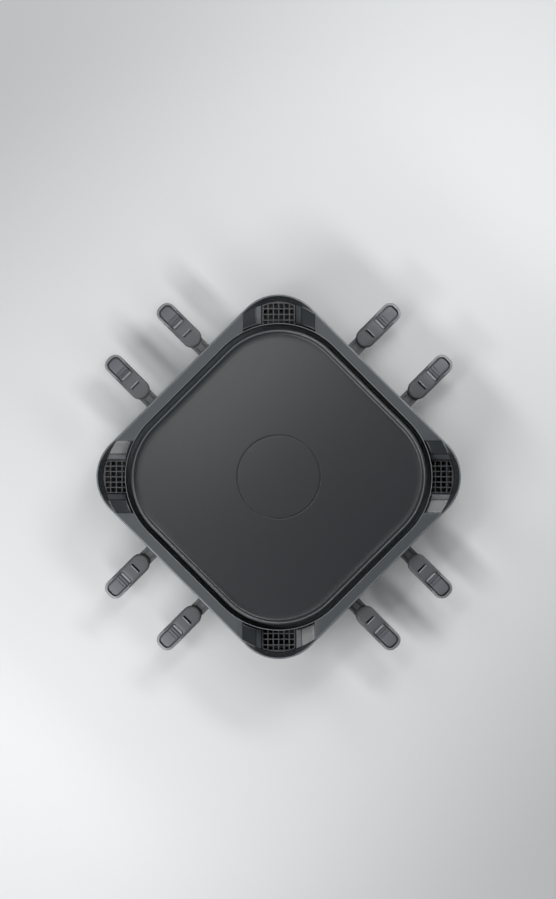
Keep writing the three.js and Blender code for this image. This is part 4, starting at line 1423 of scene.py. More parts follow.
@dataclass
class PanSet:
    """Eight coated pans: a pressed tray with a rolled rim and a flat tang."""

    start: float = 95 * MM
    end: float = 173 * MM
    width: float = 87 * MM
    corner: float = 16 * MM
    wall: float = 1.2 * MM
    # Section of the tray: inset, and rise above its underside
    outer_foot: Sizes = mm((8.6, 0), (6, 0.5), (4.6, 1.8))
    # Inset, and drop below its rim
    rolled_rim: Sizes = mm((2, 2.4), (1.6, 1.6), (0.5, 1.5), (0.05, 1.1), (0, 0.6), (0.3, 0.15), (0.8, 0),
                           (1.3, 0.1), (2.56, 0.6), (3, 2))
    # Inset, and rise above its underside
    inner_foot: Sizes = mm((5.6, 3.4), (6.6, 2), (8.4, 1.3), (9.8, 1.2))
    tang_start: float = 170.2 * MM
    tang_end: float = 213 * MM
    tang_half: float = 9.5 * MM
    tang_thickness: float = 3 * MM
    tang_drop: float = 1.2 * MM
    tang_edge: float = 0.7 * MM
    groove_offset: float = 4.9 * MM
    groove_half: float = 0.85 * MM
    groove_depth: float = 2.3 * MM
    groove_ends: tuple[float, float] = (176.2 * MM, 210 * MM)
    gap_centre: float = 209 * MM
    gap_radius: float = 13.1 * MM
    gap_width: float = 1.8 * MM
    gap_steps: int = 64

    def tray(self, low: float, high: float) -> BMesh:
        """The tray between its two heights.

        Args:
            low: The height of its underside.
            high: The height of its rim.

        Returns:
            The tray's mesh.
        """
        section = above(low, self.outer_foot) + below(high, self.rolled_rim) + above(low, self.inner_foot)
        rings = [oblong(self.start, self.end, self.width / 2, (self.corner, self.corner), height, inset, 2)
                 for inset, height in section]
        middle = (self.start + self.end) / 2
        under, upper = [[Vector((middle, 0, height))] * len(rings[0]) for height in (low, low + self.wall)]
        return skin([under, *rings, upper])

    def tang(self, high: float) -> BMesh:
        """The flat tang that the grip takes, with its two grooves and the gap round the grip.

        Args:
            high: The height of the tray's rim.

        Returns:
            The tang's mesh.
        """
        top = high - self.tang_drop
        low, over = top - self.groove_depth, top + CUT_MARGIN
        piece = as_object(block((self.tang_start, -self.tang_half, top - self.tang_thickness),
                                (self.tang_end, self.tang_half, top), self.tang_edge, 3), "tang")
        start, end = self.groove_ends
        grooves = [block((start, middle - self.groove_half, low), (end, middle + self.groove_half, over))
                   for middle in (-self.groove_offset, self.groove_offset)]
        near, far = self.gap_radius, self.gap_radius + self.gap_width
        gap = turned([(near, low), (near, over), (far, over), (far, low), (near, low)], self.gap_steps)
        bmesh.ops.translate(gap, verts=gap.verts, vec=(self.gap_centre, 0, 0))
        return taken_back(carved(carved(piece, joined(*grooves)), gap))

    def places(self) -> list[Matrix]:
        """Where each pan's copy goes, in the order of their numbers."""
        shifts = [Matrix.Translation((0, sign * centre("pan_grip_2").y, 0)) for sign in (-1, 1)]
        return [turn @ shift for turn in quarter_turns() for shift in shifts]

    def dress(self) -> None:
        """Builds one pan on the +X side and puts a copy on every pan's body."""
        low, high = box("pan_1")
        pan = as_object(joined(self.tray(low.z, high.z), painted(self.tang(high.z), 1)), "pan")
        Look.PAN.on_copies(pan, self.places(), "pan_tray", "pan_unit_{}", "pan", [PAN_NECK])


@dataclass
class PanGrip:
    """The moulded grip of a pan, with a cross slot and a recess for its insert."""

    pans: PanSet
    start: float = 196 * MM
    half: float = 13 * MM
    tip_radius: float = 11.5 * MM
    edge: float = 3.2 * MM
    # Steps of its lower and of its upper round
    edge_steps: tuple[int, int] = (5, 6)
    under_inset: float = 9.1 * MM
    crown: float = 0.5 * MM
    tip_length: float = 20 * MM
    tip_drop: float = 4.5 * MM
    tip_lift: float = 3 * MM
    # Painted highlight on the rim: place along the grip from which each more row of the rounded edge is
    # lighter
    highlight_from: tuple[float, ...] = (237 * MM, 240 * MM, 243.5 * MM, 247 * MM, 250.5 * MM)
    recess_start: float = 231.7 * MM
    recess_end: float = 263 * MM
    recess_half: float = 10.4 * MM
    recess_radii: tuple[float, float] = (4.5 * MM, 7.4 * MM)
    # Its rounded upper edge: inset from its wall, drop below the upper side
    recess_edge: Sizes = mm((-0.5, 0), (-0.15, 0.15), (0, 0.5))
    floor_inset: float = 4 * MM
    # Rows between the grip's rounded edge and the recess, as shares of the way
    inward_shares: tuple[float, ...] = (0.3, 0.6, 0.85)
    gap_depth: float = 6 * MM
    slot_place: float = 217.1 * MM
    slot_half: float = 6.9 * MM
    slot_width: float = 4.0 * MM
    slot_depth: float = 9 * MM
    slot_corner: float = 0.7 * MM
    bead_width: float = 1.3 * MM
    bead_gap: float = 0.05 * MM
    bead_drop: float = 0.1 * MM
    bead_edge: float = 0.3 * MM
    neck_half: float = 9.8 * MM
    neck_fit: float = 0.3 * MM

    @property
    def end(self) -> float:
        """Where the grip's tip ends."""
        return box("pan_grip_1")[1].x

    @property
    def top(self) -> float:
        """The height of the grip's highest line."""
        return box("pan_grip_1")[1].z

    def tip_share(self, x: float) -> float:
        """How far the upper side has fallen towards the tip, as a share of its whole fall."""
        into = max(x - (self.end - self.tip_length), 0.0) / self.tip_length
        return 1 - math.sqrt(max(1 - into**2, 0.0))

    def surface(self, x: float, y: float) -> float:
        """The height of the upper side."""
        return self.top - self.crown * (y / self.half) ** 2 - self.tip_drop * self.tip_share(x)

    def upper(self, run: Run, drop: float = 0.0) -> Run:
        """A run of points laid on the upper side, or some way below it."""
        return [Vector((p.x, p.y, self.surface(p.x, p.y) - drop)) for p in run]

    def lower(self, run: Run, rise: float = 0.0) -> Run:
        """A run of points laid on the lower side, or some way above it."""
        low = box("pan_grip_1")[0].z
        return [Vector((p.x, p.y, low + self.tip_lift * self.tip_share(p.x) + rise)) for p in run]

    def body(self) -> BMesh:
        """The grip as one skin, from its lower side round its edge into the recess.

        Returns:
            The grip's mesh, with a painted highlight on its rim.
        """
        outline = partial(oblong, self.start, self.end, self.half, (self.half, self.tip_radius), 0)
        recess = partial(oblong, self.recess_start, self.recess_end, self.recess_half, self.recess_radii, 0)
        lip, depth = recess(self.recess_edge[0][0]), self.gap_depth
        lower_round, upper_round = (fillet(self.edge, steps) for steps in self.edge_steps)
        rings = [self.lower(outline(inset)) for inset in (self.half, self.under_inset, self.edge)]
        rings += [self.lower(outline(inset), rise) for inset, rise in reversed(lower_round[:-1])]
        rings += [self.upper(outline(inset), drop) for inset, drop in upper_round]
        last = len(rings) - 1
        for share in self.inward_shares:
            rings.append(self.upper([a.lerp(b, share) for a, b in zip(outline(self.edge), lip)]))
        floor = [(inset, depth) for inset in (0, self.floor_inset, self.recess_half)]
        rings += [self.upper(recess(inset), drop) for inset, drop in (*self.recess_edge, *floor)]

        def finish(row: int, column: int) -> int:
            """Tells whether a face belongs to the painted highlight on the rim.

            Args:
                row: The face's ring.
                column: Its place around the grip.

            Returns:
                One for the painted highlight, and zero for the rest.
            """
            from_top = last - row
            return int(0 <= from_top < len(self.highlight_from)
                       and rings[row][column].x > self.highlight_from[from_top])

        return skin(rings, finish=finish)

    def slot(self) -> BMesh:
        """The cutter of the cross slot, with rounded corners.

        Returns:
            The cutter's mesh.
        """
        half = self.slot_width / 2
        bm = block((self.slot_place - half, -self.slot_half, self.top - self.slot_depth),
                   (self.slot_place + half, self.slot_half, self.top + CUT_MARGIN))
        return eased(bm, edges_along(bm, 2), self.slot_corner, 3)

    def bead(self) -> BMesh:
        """The bead along the outer side of the cross slot, with a painted highlight.

        Returns:
            The bead's mesh.
        """
        high, outer = self.top - self.bead_drop, self.slot_place + self.slot_width / 2 - self.bead_gap
        # Finish 1 is the lighter rim finish, here a painted highlight on the bead.
        return painted(block((outer - self.bead_width, -self.slot_half, high - self.slot_depth / 2),
                             (outer, self.slot_half, high), self.bead_edge), 1)

    def dress(self) -> None:
        """Builds one grip on the +X side and puts a copy on every pan's body."""
        pans, fit = self.pans, self.neck_fit
        tang_top = box("pan_1")[1].z - pans.tang_drop
        socket = block((self.start - CUT_MARGIN, -self.neck_half, tang_top - pans.tang_thickness - fit),
                       (pans.tang_end + fit, self.neck_half, tang_top + fit))
        shell = carved(carved(as_object(self.body(), "shell"), self.slot()), socket)
        grip = as_object(joined(taken_back(shell), self.bead()), "grip")
        Look.GRIP.on_copies(grip, pans.places(), "grip_shell", "pan_unit_{}", "pan_grip", [GRIP_EDGE_HIGHLIGHT])


@dataclass
class GripInsert:
    """The ribbed insert in the recess of a grip."""

    grip: PanGrip
    gap: float = 2.2 * MM
    tip_gap: float = 1.7 * MM
    inner_gap: float = 0.05 * MM
    inner_corner: float = 2.5 * MM
    drop: float = 0.5 * MM
    edge: float = 0.6 * MM
    # Ridges and grooves across the insert: place, height above the insert, half width
    waves: Sizes = mm((233.9, 1.1, 1.3), (236.3, -1.5, 0.8), (238, 0.9, 0.9), (239.9, -1.3, 0.8),
                      (241.9, 0.7, 0.9), (244.4, -1, 0.8))
    fade_width: float = 1.2 * MM
    # Half width of the band over the first ridge that carries a painted highlight
    highlight_half: float = 1.1 * MM
    columns: int = 110
    rows: int = 18

    def height(self, x: float, y: float) -> float:
        """The insert's upper side, which follows the grip and carries the ridges.

        Args:
            x: The place along the insert.
            y: The place across it.

        Returns:
            The height there.
        """
        surface = self.grip.surface(x, y) - self.drop
        fade = min(max((self.grip.recess_half - self.gap - abs(y)) / self.fade_width, 0.0), 1.0)
        for place, height, half in self.waves:
            share = abs(x - place) / half
            if share < 1:
                surface += height * fade * (1 + math.cos(math.pi * share)) / 2
        return surface

    def build(self) -> Piece:
        """One insert on the +X side, as a fine sheet with rounded edges and a skirt.

        Returns:
            The insert's object.
        """
        grip, corner, edge = self.grip, self.inner_corner, self.edge
        start, end = grip.recess_start + self.inner_gap, grip.recess_end - self.tip_gap
        half, radius = grip.recess_half - self.gap, grip.recess_radii[1] - self.gap
        bm = bmesh.new()
        bmesh.ops.create_grid(bm, x_segments=self.columns, y_segments=self.rows, size=1.0)
        for vert in bm.verts:
            x = start + (end - start) * (vert.co.x + 1) / 2
            from_tip = max(radius - (end - x), 0.0)
            from_start = max(corner - (x - start), 0.0)
            narrow = radius - math.sqrt(max(radius**2 - from_tip**2, 0.0))
            narrow += corner - math.sqrt(corner**2 - from_start**2)
            y = vert.co.y * (half - narrow)
            inwards = min(half - narrow - abs(y), x - start, end - x, edge)
            sink = edge - math.sqrt(max(edge**2 - (edge - inwards) ** 2, 0.0))
            vert.co = (x, y, self.height(x, y) - sink)
        for face in bm.faces:
            # Faces over the first ridge carry a painted highlight.
            face.material_index = int(abs(face.calc_center_median().x - self.waves[0][0]) < self.highlight_half)
        skirt = bmesh.ops.extrude_edge_only(bm, edges=boundary(bm))
        for item in skirt["geom"]:
            if isinstance(item, bmesh.types.BMVert):
                item.co.z = grip.surface(item.co.x, item.co.y) - grip.gap_depth
        bmesh.ops.holes_fill(bm, edges=boundary(bm), sides=0)
        return as_object(weld(bm), "insert")

    def dress(self) -> None:
        """Builds one insert and puts a copy on every pan's body."""
        places = self.grip.pans.places()
        Look.PAD.on_copies(self.build(), places, "grip_insert", "pan_unit_{}", "grip_pad", [INSERT_RIDGE_HIGHLIGHT])


# Heater


@dataclass
class Heater:
    """The tubular element in its shield under the plate."""

    housing: Housing
    shield_inset: float = 13.5 * MM
    sheet: float = 0.8 * MM
    # Upper part of the shield's section: inset from the well, drop below the shield's top
    bend_inside: Sizes = mm((6, 0.8), (11.9, 0.8), (13.02, 1.28), (13.5, 2.4))
    bend_outside: Sizes = mm((14.3, 2.4), (13.82, 0.4), (11.9, 0), (6, 0))
    tube_radius: float = 3.25 * MM
    outer_inset: float = 28 * MM
    inner_inset: float = 68 * MM
    tight_radius: float = 10 * MM
    terminal_spacing: float = 20 * MM
    terminal_out: float = 10 * MM
    hole_radius: float = 4.25 * MM
    hole_reach: float = 10 * MM

    def shield(self) -> Piece:
        """The folded sheet ring: a lap on the flange and a wall below it, with its two holes.

        Returns:
            The shield's object.
        """
        low, high = box("heat_shield")
        well, inset = self.housing.well, self.shield_inset
        rows = below(high.z, self.bend_inside) + [(inset, low.z), (inset + self.sheet, low.z)]
        rows += below(high.z, self.bend_outside)
        piece = as_object(skin([well.ring(*row) for row in rows], closed=True), "shield_ring")
        for x in (0, self.terminal_spacing):
            place = (x, well.half - inset, centre("heating_element").z)
            carved(piece, facing_front(drill_bit(self.hole_radius, self.hole_reach), place))
        return piece

    def path(self) -> Run:
        """The element's centre line: in at the rear, round both loops, and out.

        Returns:
            The line's points.
        """
        level, well = centre("heating_element").z, self.housing.well
        outer, inner = well.half - self.outer_inset, well.half - self.inner_inset
        straight, tight, start = well.straight, self.tight_radius, self.terminal_spacing
        end = well.half - self.shield_inset + self.terminal_out
        wide, narrow = outer - straight, inner - straight
        # Bends in their order: centre, radius, and the directions of both ends in quarter turns
        bends = [
            (start + tight, outer + tight, tight, (2, 3)),
            (straight, straight, wide, (1, 0)), (straight, -straight, wide, (0, -1)),
            (-straight, -straight, wide, (-1, -2)), (-straight, straight, wide, (-2, -3)),
            (-start - tight, outer - tight, tight, (1, 0)), (-start - tight, inner + tight, tight, (0, -1)),
            (-straight, straight, narrow, (1, 2)), (-straight, -straight, narrow, (2, 3)),
            (straight, -straight, narrow, (-1, 0)), (straight, straight, narrow, (0, 1)),
            (tight, inner + tight, tight, (-1, -2)),
        ]
        points = [Vector((start, end, level))]
        for x, y, radius, quarters in bends:
            points += arc(x, y, radius, level, quarters, 12 if radius > tight else 8)
        return [*points, Vector((0, end, level))]

    def dress(self) -> None:
        """Builds the heater and puts it on the cooker."""
        Look.SHEET.on(self.shield(), "cooker", "heat_shield")
        Look.SHEATH.on(tube("heater_tube", self.path(), self.tube_radius, 6), "cooker", "heating_element")
        Look.SHEET.redress("element_bracket_1", "element_bracket_2")


# Base


@dataclass
class Base:
    """The base with its deck, cover, posts, feet and screws."""

    housing: Housing
    inset: float = 13 * MM
    wall: float = 2.5 * MM
    edge: float = 1.4 * MM
    cover_lip: float = 6 * MM
    fit: float = 0.3 * MM
    # Casing's lower edge: inset from the base's outline, rise above its lowest point
    casing_foot: Sizes = mm((5.5, 0), (3.6, 0), (1.8, 0.35), (0.6, 1.6), (0, 3.6))
    top_inset: float = 20 * MM
    spindle_hole: float = 5.3 * MM
    lamp_hole: float = 3.5 * MM
    drill_reach: float = 4 * MM
    inlet_flange: float = 3 * MM
    inlet_cut: tuple[float, float] = (5 * MM, 2 * MM)
    post_inner_inset: float = 11 * MM
    post_edge: float = 0.5 * MM
    post_steps: int = 12
    lip_inset: float = 2.9 * MM
    lip_lap: float = 0.4 * MM
    lip_rise: float = 2.5 * MM
    lip_thickness: float = 1.2 * MM
    lip_steps: int = 16
    # Turned foot: radius, and height above the table, then above the foot's top
    foot_sole: Sizes = mm((0, 0.8), (5, 0.8), (5.6, 0), (9.6, 0), (10.5, 0.6), (11.6, 3.4))
    foot_top: Sizes = mm((12, -0.6), (11.6, 0), (3, 0), (3, 5.3), (2.4, 6), (0, 6))
    foot_steps: int = 40
    # Turned screw: radius, and height above its head's lowest point, then below its tip
    screw_head: Sizes = mm((0, 0), (1.6, 0.15), (2.9, 0.7), (3.5, 1.4))
    screw_head_radius: float = 3.6 * MM
    screw_radius: float = 1.6 * MM
    screw_tip: Sizes = mm((1.6, 1.5), (0.3, 0), (0, 0))
    screw_steps: int = 28
    # Both arms of the cross recess: half length and half width, or the other way round
    screw_recess: Sizes = mm((1.9, 0.4), (0.4, 1.9))
    recess_depth: float = 1.3 * MM
    deck_gap: float = 2.5 * MM
    deck_edge: float = 0.35 * MM

    @property
    def outline(self) -> Outline:
        """The outline of the base."""
        outer = self.housing.outer
        return Outline(outer.half - self.inset, outer.radius - self.inset)

    def shell(self) -> Piece:
        """The moulded casing, open below, with the holes for the controls and the inlet.

        Returns:
            The casing's object.
        """
        low, high = box("base_shell")
        ring, inner = self.outline.ring, high.z - self.wall
        rows = above(low.z, self.casing_foot) + below(high.z, fillet(self.edge, 4))
        rings = [ring(*row) for row in rows]
        middle, under = [[Vector((0, 0, height))] * len(rings[0]) for height in (high.z, inner)]
        rings += [ring(self.top_inset, high.z), middle, under, ring(self.top_inset, inner)]
        rings += [ring(self.wall, inner), ring(self.wall, low.z + self.cover_lip)]
        piece = as_object(skin(rings, closed=True), "base_casing")
        front, level = -self.outline.half + self.wall / 2, centre("control_knob").z
        for x, radius in ((0, self.spindle_hole), (centre("pilot_lamp").x, self.lamp_hole)):
            carved(piece, facing_front(drill_bit(radius, self.drill_reach), (x, front, level)))
        low, high = box("power_inlet")
        rear, narrower = self.outline.half, self.inlet_flange - self.fit
        return carved(piece, block((low.x + narrower, rear - self.inlet_cut[0], low.z + narrower),
                                   (high.x - narrower, rear + self.inlet_cut[1], high.z - narrower)))

    def plan(self, wall: float, height: float) -> Run:
        """A corner post's plan. Both faces start at the same end, so the walls between them cross.

        Args:
            wall: How far the plan lies inside the post's faces.
            height: Its height.

        Returns:
            The points of the outer face, then those of the inner one.
        """
        well, out, steps = self.housing.well, self.outline.half - wall, self.post_steps
        start = box("corner_post_1")[0].x + wall
        radius = well.radius - (self.post_inner_inset - wall)
        turn = math.asin(min((start - well.straight) / radius, 1.0)) / QUARTER
        outside = self.outline.ring(wall, height, steps)[:steps + 1]
        inside = arc(well.straight, well.straight, radius, height, (turn, 1 - turn), steps)
        return [Vector((out, start, height)), *outside, Vector((start, out, height)), *inside]

    def post(self) -> Piece:
        """One hollow corner post, with rounded rims.

        Returns:
            The post's object.
        """
        low, high = box("corner_post_1")
        rim = ((self.wall, 0), (self.post_edge, 0), (0, self.post_edge))
        rows = above(low.z, rim) + below(high.z, rim[::-1])
        return as_object(skin([self.plan(*row) for row in rows], closed=True), "post")

    def light_lip(self) -> Piece:
        """The lip on a post's top that closes the gap between the base and the frame's wall.

        Returns:
            The lip's object.
        """
        steps, far = self.lip_steps, self.inset + self.lip_lap
        top = self.housing.bottom + self.lip_rise
        low = top - self.lip_thickness
        rows = [(self.lip_inset, low), (far, low), (far, top), (self.lip_inset, top)]
        rings = [self.housing.outer.ring(*row, steps)[:steps + 1] for row in rows]
        bm = skin(rings, closed=True, left_out=lambda row, column: column == steps)
        bmesh.ops.holes_fill(bm, edges=boundary(bm), sides=0)
        return as_object(weld(bm), "lip")

    def foot(self) -> Piece:
        """One turned rubber foot with a ring groove in its sole."""
        profile = [*self.foot_sole, *above(box("base_shell")[0].z - self.fit, self.foot_top)]
        return as_object(turned(profile, self.foot_steps), "foot")

    def screw(self) -> Piece:
        """One cover screw with a domed head and a cross recess.

        Returns:
            The screw's object.
        """
        low, high = box("cover_screw_1")
        seat = box("bottom_cover")[0].z - self.fit
        seat_rows = [(self.screw_head_radius, seat), (self.screw_radius, seat)]
        profile = above(low.z, self.screw_head) + seat_rows + below(high.z, self.screw_tip)
        piece = as_object(turned(profile, self.screw_steps), "screw")
        for x, y in self.screw_recess:
            carved(piece, block((-x, -y, low.z - CUT_MARGIN), (x, y, low.z + self.recess_depth)))
        return piece

    def deck(self) -> Piece:
        """The coated sheet under the pans, a cross with pressed edges.

        Returns:
            The sheet's object.
        """
        low, high = box("pan_deck")
        arm = box("corner_post_1")[0].x - self.deck_gap
        bm = bmesh.new()
        bmesh.ops.create_grid(bm, x_segments=3, y_segments=3, size=1.0)
        lines = (-high.x, -arm, arm, high.x)
        for vert in bm.verts:
            vert.co = (*(lines[round((share + 1) * 1.5)] for share in vert.co.xy), low.z)
        corners = [face for face in bm.faces if min(abs(c) for c in face.calc_center_median().xy) > arm / 2]
        bmesh.ops.delete(bm, geom=corners, context="FACES")
        return rounded(as_object(thickened(bm, high.z - low.z), "deck_sheet"), self.deck_edge)

    def dress(self) -> None:
        """Builds the base and puts it on the cooker."""
        Look.BASE.on(self.shell(), "cooker", "base_shell")
        Look.DECK.on(self.deck(), "cooker", "pan_deck")
        Look.BASE.redress("bottom_cover")
        Look.BASE.on_copies(self.post(), quarter_turns(), "corner_leg", "cooker", "corner_post")
        Look.DECK.on_copies(self.light_lip(), quarter_turns(), "light_lip", "cooker")
        for look, pattern, name, node in ((Look.FOOT, self.foot(), "foot_pad", "foot"),
                                          (Look.SCREW, self.screw(), "screw", "cover_screw")):
            spots = [centre(f"{node}_{corner + 1}") * Vector((1, 1, 0)) for corner in range(SIDES)]
            look.on_copies(pattern, [Matrix.Translation(spot) for spot in spots], name, "cooker", node)


# Controls, inlet and wiring


@dataclass
class Controls:
    """The knob with its dial, the pilot lamp, the thermostat and the cut-out."""

    flutes: int = 24
    flute_depth: float = 0.5 * MM
    flute_heights: tuple[float, float] = (1.5 * MM, 8 * MM)
    knob_stand: float = 0.8 * MM
    # Turned knob: radius and height of its spindle, then inset from its radius and height
    spindle: Sizes = mm((0, -9), (3, -9), (3, 0))
    knob_side: Sizes = mm((0.6, 0), (0, 0.5), (0.3, 2.5), (0.6, 5.5), (0.8, 7.7), (1.3, 8.6), (2.2, 9),
                          (4, 8.7))
    knob_middle: float = 8.5 * MM
    pointer_half: float = 1 * MM
    pointer_start: float = 3 * MM
    pointer_gap: float = 2.4 * MM
    pointer_depth: float = 1.8 * MM
    pointer_edge: float = 0.3 * MM
    # Turned lamp: radius and height of its bezel, then radius and drop below its tip
    bezel: Sizes = mm((3.2, 0.3), (4.2, 0.3), (4.1, 0.8), (3.6, 1.1), (3.2, 1))
    dome: Sizes = mm((2.4, 0.15), (1.2, 0.03), (0, 0))
    lamp_steps: int = 32
    dial_radius: float = 16.6 * MM
    tick_half: float = 0.4 * MM
    tick_root: float = 0.1 * MM
    tick_rise: float = 0.25 * MM
    tick_lengths: tuple[float, float] = (2.6 * MM, 1.6 * MM)
    tick_count: int = 7
    tick_sweep: float = math.radians(270)

    @property
    def front(self) -> float:
        """Where the base's front wall is."""
        return -box("base_shell")[1].y

    def knob(self) -> Piece:
        """The fluted knob with a raised pointer and its spindle.

        Returns:
            The knob's object.
        """
        low, high = box("control_knob")
        level, radius = centre("control_knob").z, (high.x - low.x) / 2
        side = [(radius - inset, height) for inset, height in self.knob_side]
        bm = turned([*self.spindle, *side, (0, self.knob_middle)], self.flutes * 6)
        for vert in bm.verts:
            if self.flute_heights[0] < vert.co.z < self.flute_heights[1] and vert.co.xy.length > radius / 2:
                wave = 0.5 - 0.5 * math.cos(self.flutes * math.atan2(vert.co.y, vert.co.x))
                vert.co.xy -= vert.co.xy.normalized() * self.flute_depth * wave
        knob = facing_front(bm, (0, self.front - self.knob_stand, level))
        half, tip = self.pointer_half, level + radius - self.pointer_gap
        pointer = block((-half, low.y, level + self.pointer_start), (half, low.y + self.pointer_depth, tip),
                        self.pointer_edge)
        return as_object(joined(knob, pointer), "knob_body")

    def dial(self) -> Piece:
        """Plain raised ticks round the knob, longest at the ends.

        Returns:
            The ticks as one object.
        """
        ticks, half, start = [], self.tick_half, self.dial_radius
        place = Matrix.Translation((0, self.front, centre("control_knob").z))
        for tick in range(self.tick_count):
            angle = self.tick_sweep * (tick / (self.tick_count - 1) - 0.5)
            length = self.tick_lengths[0 < tick < self.tick_count - 1]
            bm = block((-half, -self.tick_rise, start), (half, self.tick_root, start + length))
            bmesh.ops.transform(bm, matrix=place @ Matrix.Rotation(angle, 4, "Y"), verts=bm.verts)
            ticks.append(bm)
        return as_object(joined(*ticks), "dial_ticks")

    def lamp(self) -> Piece:
        """The pilot lamp's dome in its bezel.

        Returns:
            The lamp's object.
        """
        low, high = box("pilot_lamp")
        back, tip = self.front - high.y, self.front - low.y
        profile = [(0, back), (self.bezel[0][0], back), *self.bezel, *below(tip, self.dome)]
        place = (centre("pilot_lamp").x, self.front, centre("pilot_lamp").z)
        return as_object(facing_front(turned(profile, self.lamp_steps), place), "lamp_dome")

    def dress(self) -> None:
        """Builds the controls and puts them on their bodies."""
        Look.KNOB.on(self.knob(), "knob", "control_knob")
        Look.PAD.on(self.dial(), "cooker")
        Look.LAMP.on(self.lamp(), "cooker", "pilot_lamp")
        Look.SWITCH.redress("thermostat", "thermal_cutout")


@dataclass
class Inlet:
    """The socket for a detachable mains cord, with its three pins."""

    wall: float = 1.8 * MM
    flange: float = 3 * MM
    flange_thickness: float = 2 * MM
    flange_edge: float = 0.7 * MM
    body_sink: float = 0.5 * MM
    floor: float = 3 * MM
    cavity_corner: float = 2 * MM
    pin_fit: float = 0.3 * MM
    pin_edge: float = 0.5 * MM
    pins: tuple[str, ...] = ("live", "neutral", "earth")

    def build(self) -> Piece:
        """The socket: a flange, a body and the cavity round the pins.

        Returns:
            The socket's object.
        """
        low, high = box("power_inlet")
        inwards, margin = Vector((self.flange, 0, self.flange)), Vector((self.wall, 0, self.wall))
        body_low, body_high = low + inwards, high - inwards
        piece = as_object(block((low.x, high.y - self.flange_thickness, low.z), high, self.flange_edge, 3),
                          "inlet_socket")
        carved(piece, block(body_low, body_high - Vector((0, self.body_sink, 0))), Meeting.ADDS)
        cavity = block(body_low + margin + Vector((0, self.floor, 0)),
                       body_high - margin + Vector((0, CUT_MARGIN, 0)))
        carved(piece, eased(cavity, edges_along(cavity, 1), self.cavity_corner, 4))
        fit = Vector((self.pin_fit, CUT_MARGIN, self.pin_fit))
        for name in self.pins:
            pin_low, pin_high = box(f"inlet_pin_{name}")
            carved(piece, block(pin_low - fit, pin_high + fit))
        return piece

    def dress(self) -> None:
        """Builds the inlet and its pins and puts them on the cooker."""
        Look.INLET.on(self.build(), "cooker", "power_inlet")
        for name in self.pins:
            pin = as_object(block(*box(f"inlet_pin_{name}"), self.pin_edge, 3), f"contact_{name}")
            Look.BRASS.on(pin, "cooker", f"inlet_pin_{name}")


@dataclass
class Wiring:
    """The insulated leads inside the base and the frame, with the shapes that the frame gives them."""

    brown: tuple[str, ...] = ("lead_supply", "lead_heater")
    blue: tuple[str, ...] = ("lead_neutral",)

    def dress(self) -> None:
        """Gives the leads their insulation."""
        Look.LIVE.redress(*self.brown)
        Look.NEUTRAL.redress(*self.blue)


# Studio


@dataclass(frozen=True)
class Softbox:
    """A rectangular light: where it stands, its size, its power in watts and what it faces."""

    name: str
    place: tuple[float, float, float]
    size: tuple[float, float]
    power: float
    aim: tuple[float, float, float] = (0, 0, 0.09)

    def dress(self) -> None:
        """Adds the light, out of the camera's sight."""
        data = bpy.data.lights.new(self.name, "AREA")
        data.shape = "RECTANGLE"
        data.size, data.size_y = self.size
        data.energy = self.power
        light = bpy.data.objects.new(self.name, data)
        light.location = self.place
        towards = Vector(self.aim) - Vector(self.place)
        light.rotation_euler = towards.to_track_quat("-Z", "Y").to_euler()
        light.visible_camera = False
        bpy.context.scene.collection.objects.link(light)


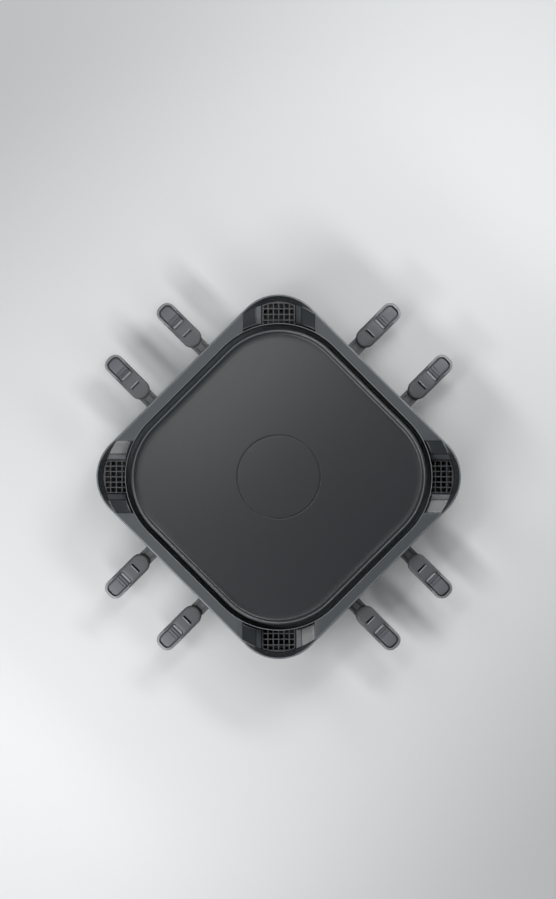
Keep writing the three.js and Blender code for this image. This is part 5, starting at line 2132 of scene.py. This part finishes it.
@dataclass
class Studio:
    """A pale floor, soft lights and the camera straight above."""

    floor_colour: Colour = (232, 234, 236)
    floor_half: float = 6.0
    floor_cloud: float = 0.8
    floor_mottle: float = 0.015
    pale_radii: tuple[float, float] = (0.55, 1.5)
    horizon: tuple[float, float] = (0.02, 0.2)
    horizon_level: float = 14.0
    tent_heights: tuple[float, float] = (0.1, 0.62)
    tent_levels: tuple[float, float] = (1.1, 0.3)
    image_width: int = 556
    image_height: int = 899
    object_row: float = 476.8
    object_column: float = 278.7
    pixel: float = 1.30 * MM
    lens: float = 200.0
    sensor: float = 36.0
    sight: float = 60.0
    subject_height: float = 0.1
    turn: float = math.radians(45)
    softboxes: tuple[Softbox, ...] = (
        Softbox("front_softbox", (0, -0.6, 0.92), (0.9, 0.16), 4.8),
        Softbox("rear_softbox", (-0.2, 0.6, 0.92), (0.5, 0.16), 2.9),
        Softbox("front_strip", (0, -0.75, 0.5), (0.9, 0.12), 2.7),
        Softbox("rear_strip", (0, 0.75, 0.5), (0.9, 0.12), 2.7),
        Softbox("overhead_softbox", (-0.185, 0.07, 0.9), (0.12, 0.42), 1.0, (-0.185, 0.07, 0)),
    )

    def camera(self) -> None:
        """Puts the camera above the grill, turned as in the photograph."""
        data = bpy.data.cameras.new("overhead_camera")
        data.lens = self.lens
        data.sensor_width = self.sensor
        data.clip_end = self.sight
        camera = bpy.data.objects.new("overhead_camera", data)
        bpy.context.scene.collection.objects.link(camera)
        distance = self.image_height * self.pixel * self.lens / self.sensor
        aside = (self.image_width / 2 - self.object_column) * self.pixel
        ahead = (self.object_row - self.image_height / 2) * self.pixel
        turn = Matrix.Rotation(self.turn, 3, "Z")
        camera.location = turn @ Vector((aside, ahead, distance + self.subject_height))
        camera.rotation_euler = (0, 0, self.turn)
        bpy.context.scene.camera = camera

    def floor(self) -> None:
        """Lays the pale floor, which glows from some way out for the rays that show it."""
        bm = bmesh.new()
        bmesh.ops.create_grid(bm, x_segments=1, y_segments=1, size=self.floor_half)
        floor = as_object(bm, "floor")
        shader = Shader("pale_floor")
        cloud = shader.noise(self.floor_cloud)
        base = linear(self.floor_colour)
        tones = [[min(c * (1 + sign * self.floor_mottle), 1) for c in base] for sign in (-1, 1)]
        away = shader.node("ShaderNodeVectorMath", {"operation": "LENGTH"}, {0: shader.place})
        share = shader.seen() * shader.fade(away.outputs["Value"], self.pale_radii, (0, 1))
        shader.set(Base_Color=shader.blend(cloud, *tones), Roughness=0.9, Emission_Strength=1.0,
                   Emission_Color=shader.blend(share, (0, 0, 0), base))
        floor.data.materials.append(shader.material)

    def tent(self) -> None:
        """Sets the light from all round: bright near the horizon and dim overhead."""
        world = bpy.data.worlds.new("light_tent")
        world.use_nodes = True
        nodes = Nodes(world.node_tree)
        place = nodes.node("ShaderNodeTexCoord").outputs["Generated"]
        height = nodes.node("ShaderNodeSeparateXYZ", inputs={0: place}).outputs["Z"]
        level = nodes.fade(height, self.tent_heights, self.tent_levels)
        band = nodes.fade(height, self.horizon, (self.horizon_level, 0))
        nodes.plug(world.node_tree.nodes["Background"].inputs["Strength"], level + nodes.seen() * band)
        bpy.context.scene.world = world

    def dress(self) -> None:
        """Sets the whole studio up."""
        self.camera()
        self.floor()
        self.tent()
        for softbox in self.softboxes:
            softbox.dress()
        bpy.context.scene.view_settings.view_transform = "Standard"


def main() -> None:
    """Builds every sub-assembly in order."""
    logging.basicConfig(level=logging.INFO, format="%(message)s")
    housing = Housing()
    pans = PanSet()
    grip = PanGrip(pans)
    for part in (Studio(), HousingFrame(housing), VentGrille(housing), GrillPlate(housing), Heater(housing),
                 Base(housing), pans, grip, GripInsert(grip), Controls(), Inlet(), Wiring()):
        log.info("building %s", type(part).__name__)
        part.dress()


if __name__ == "__main__":
    main()
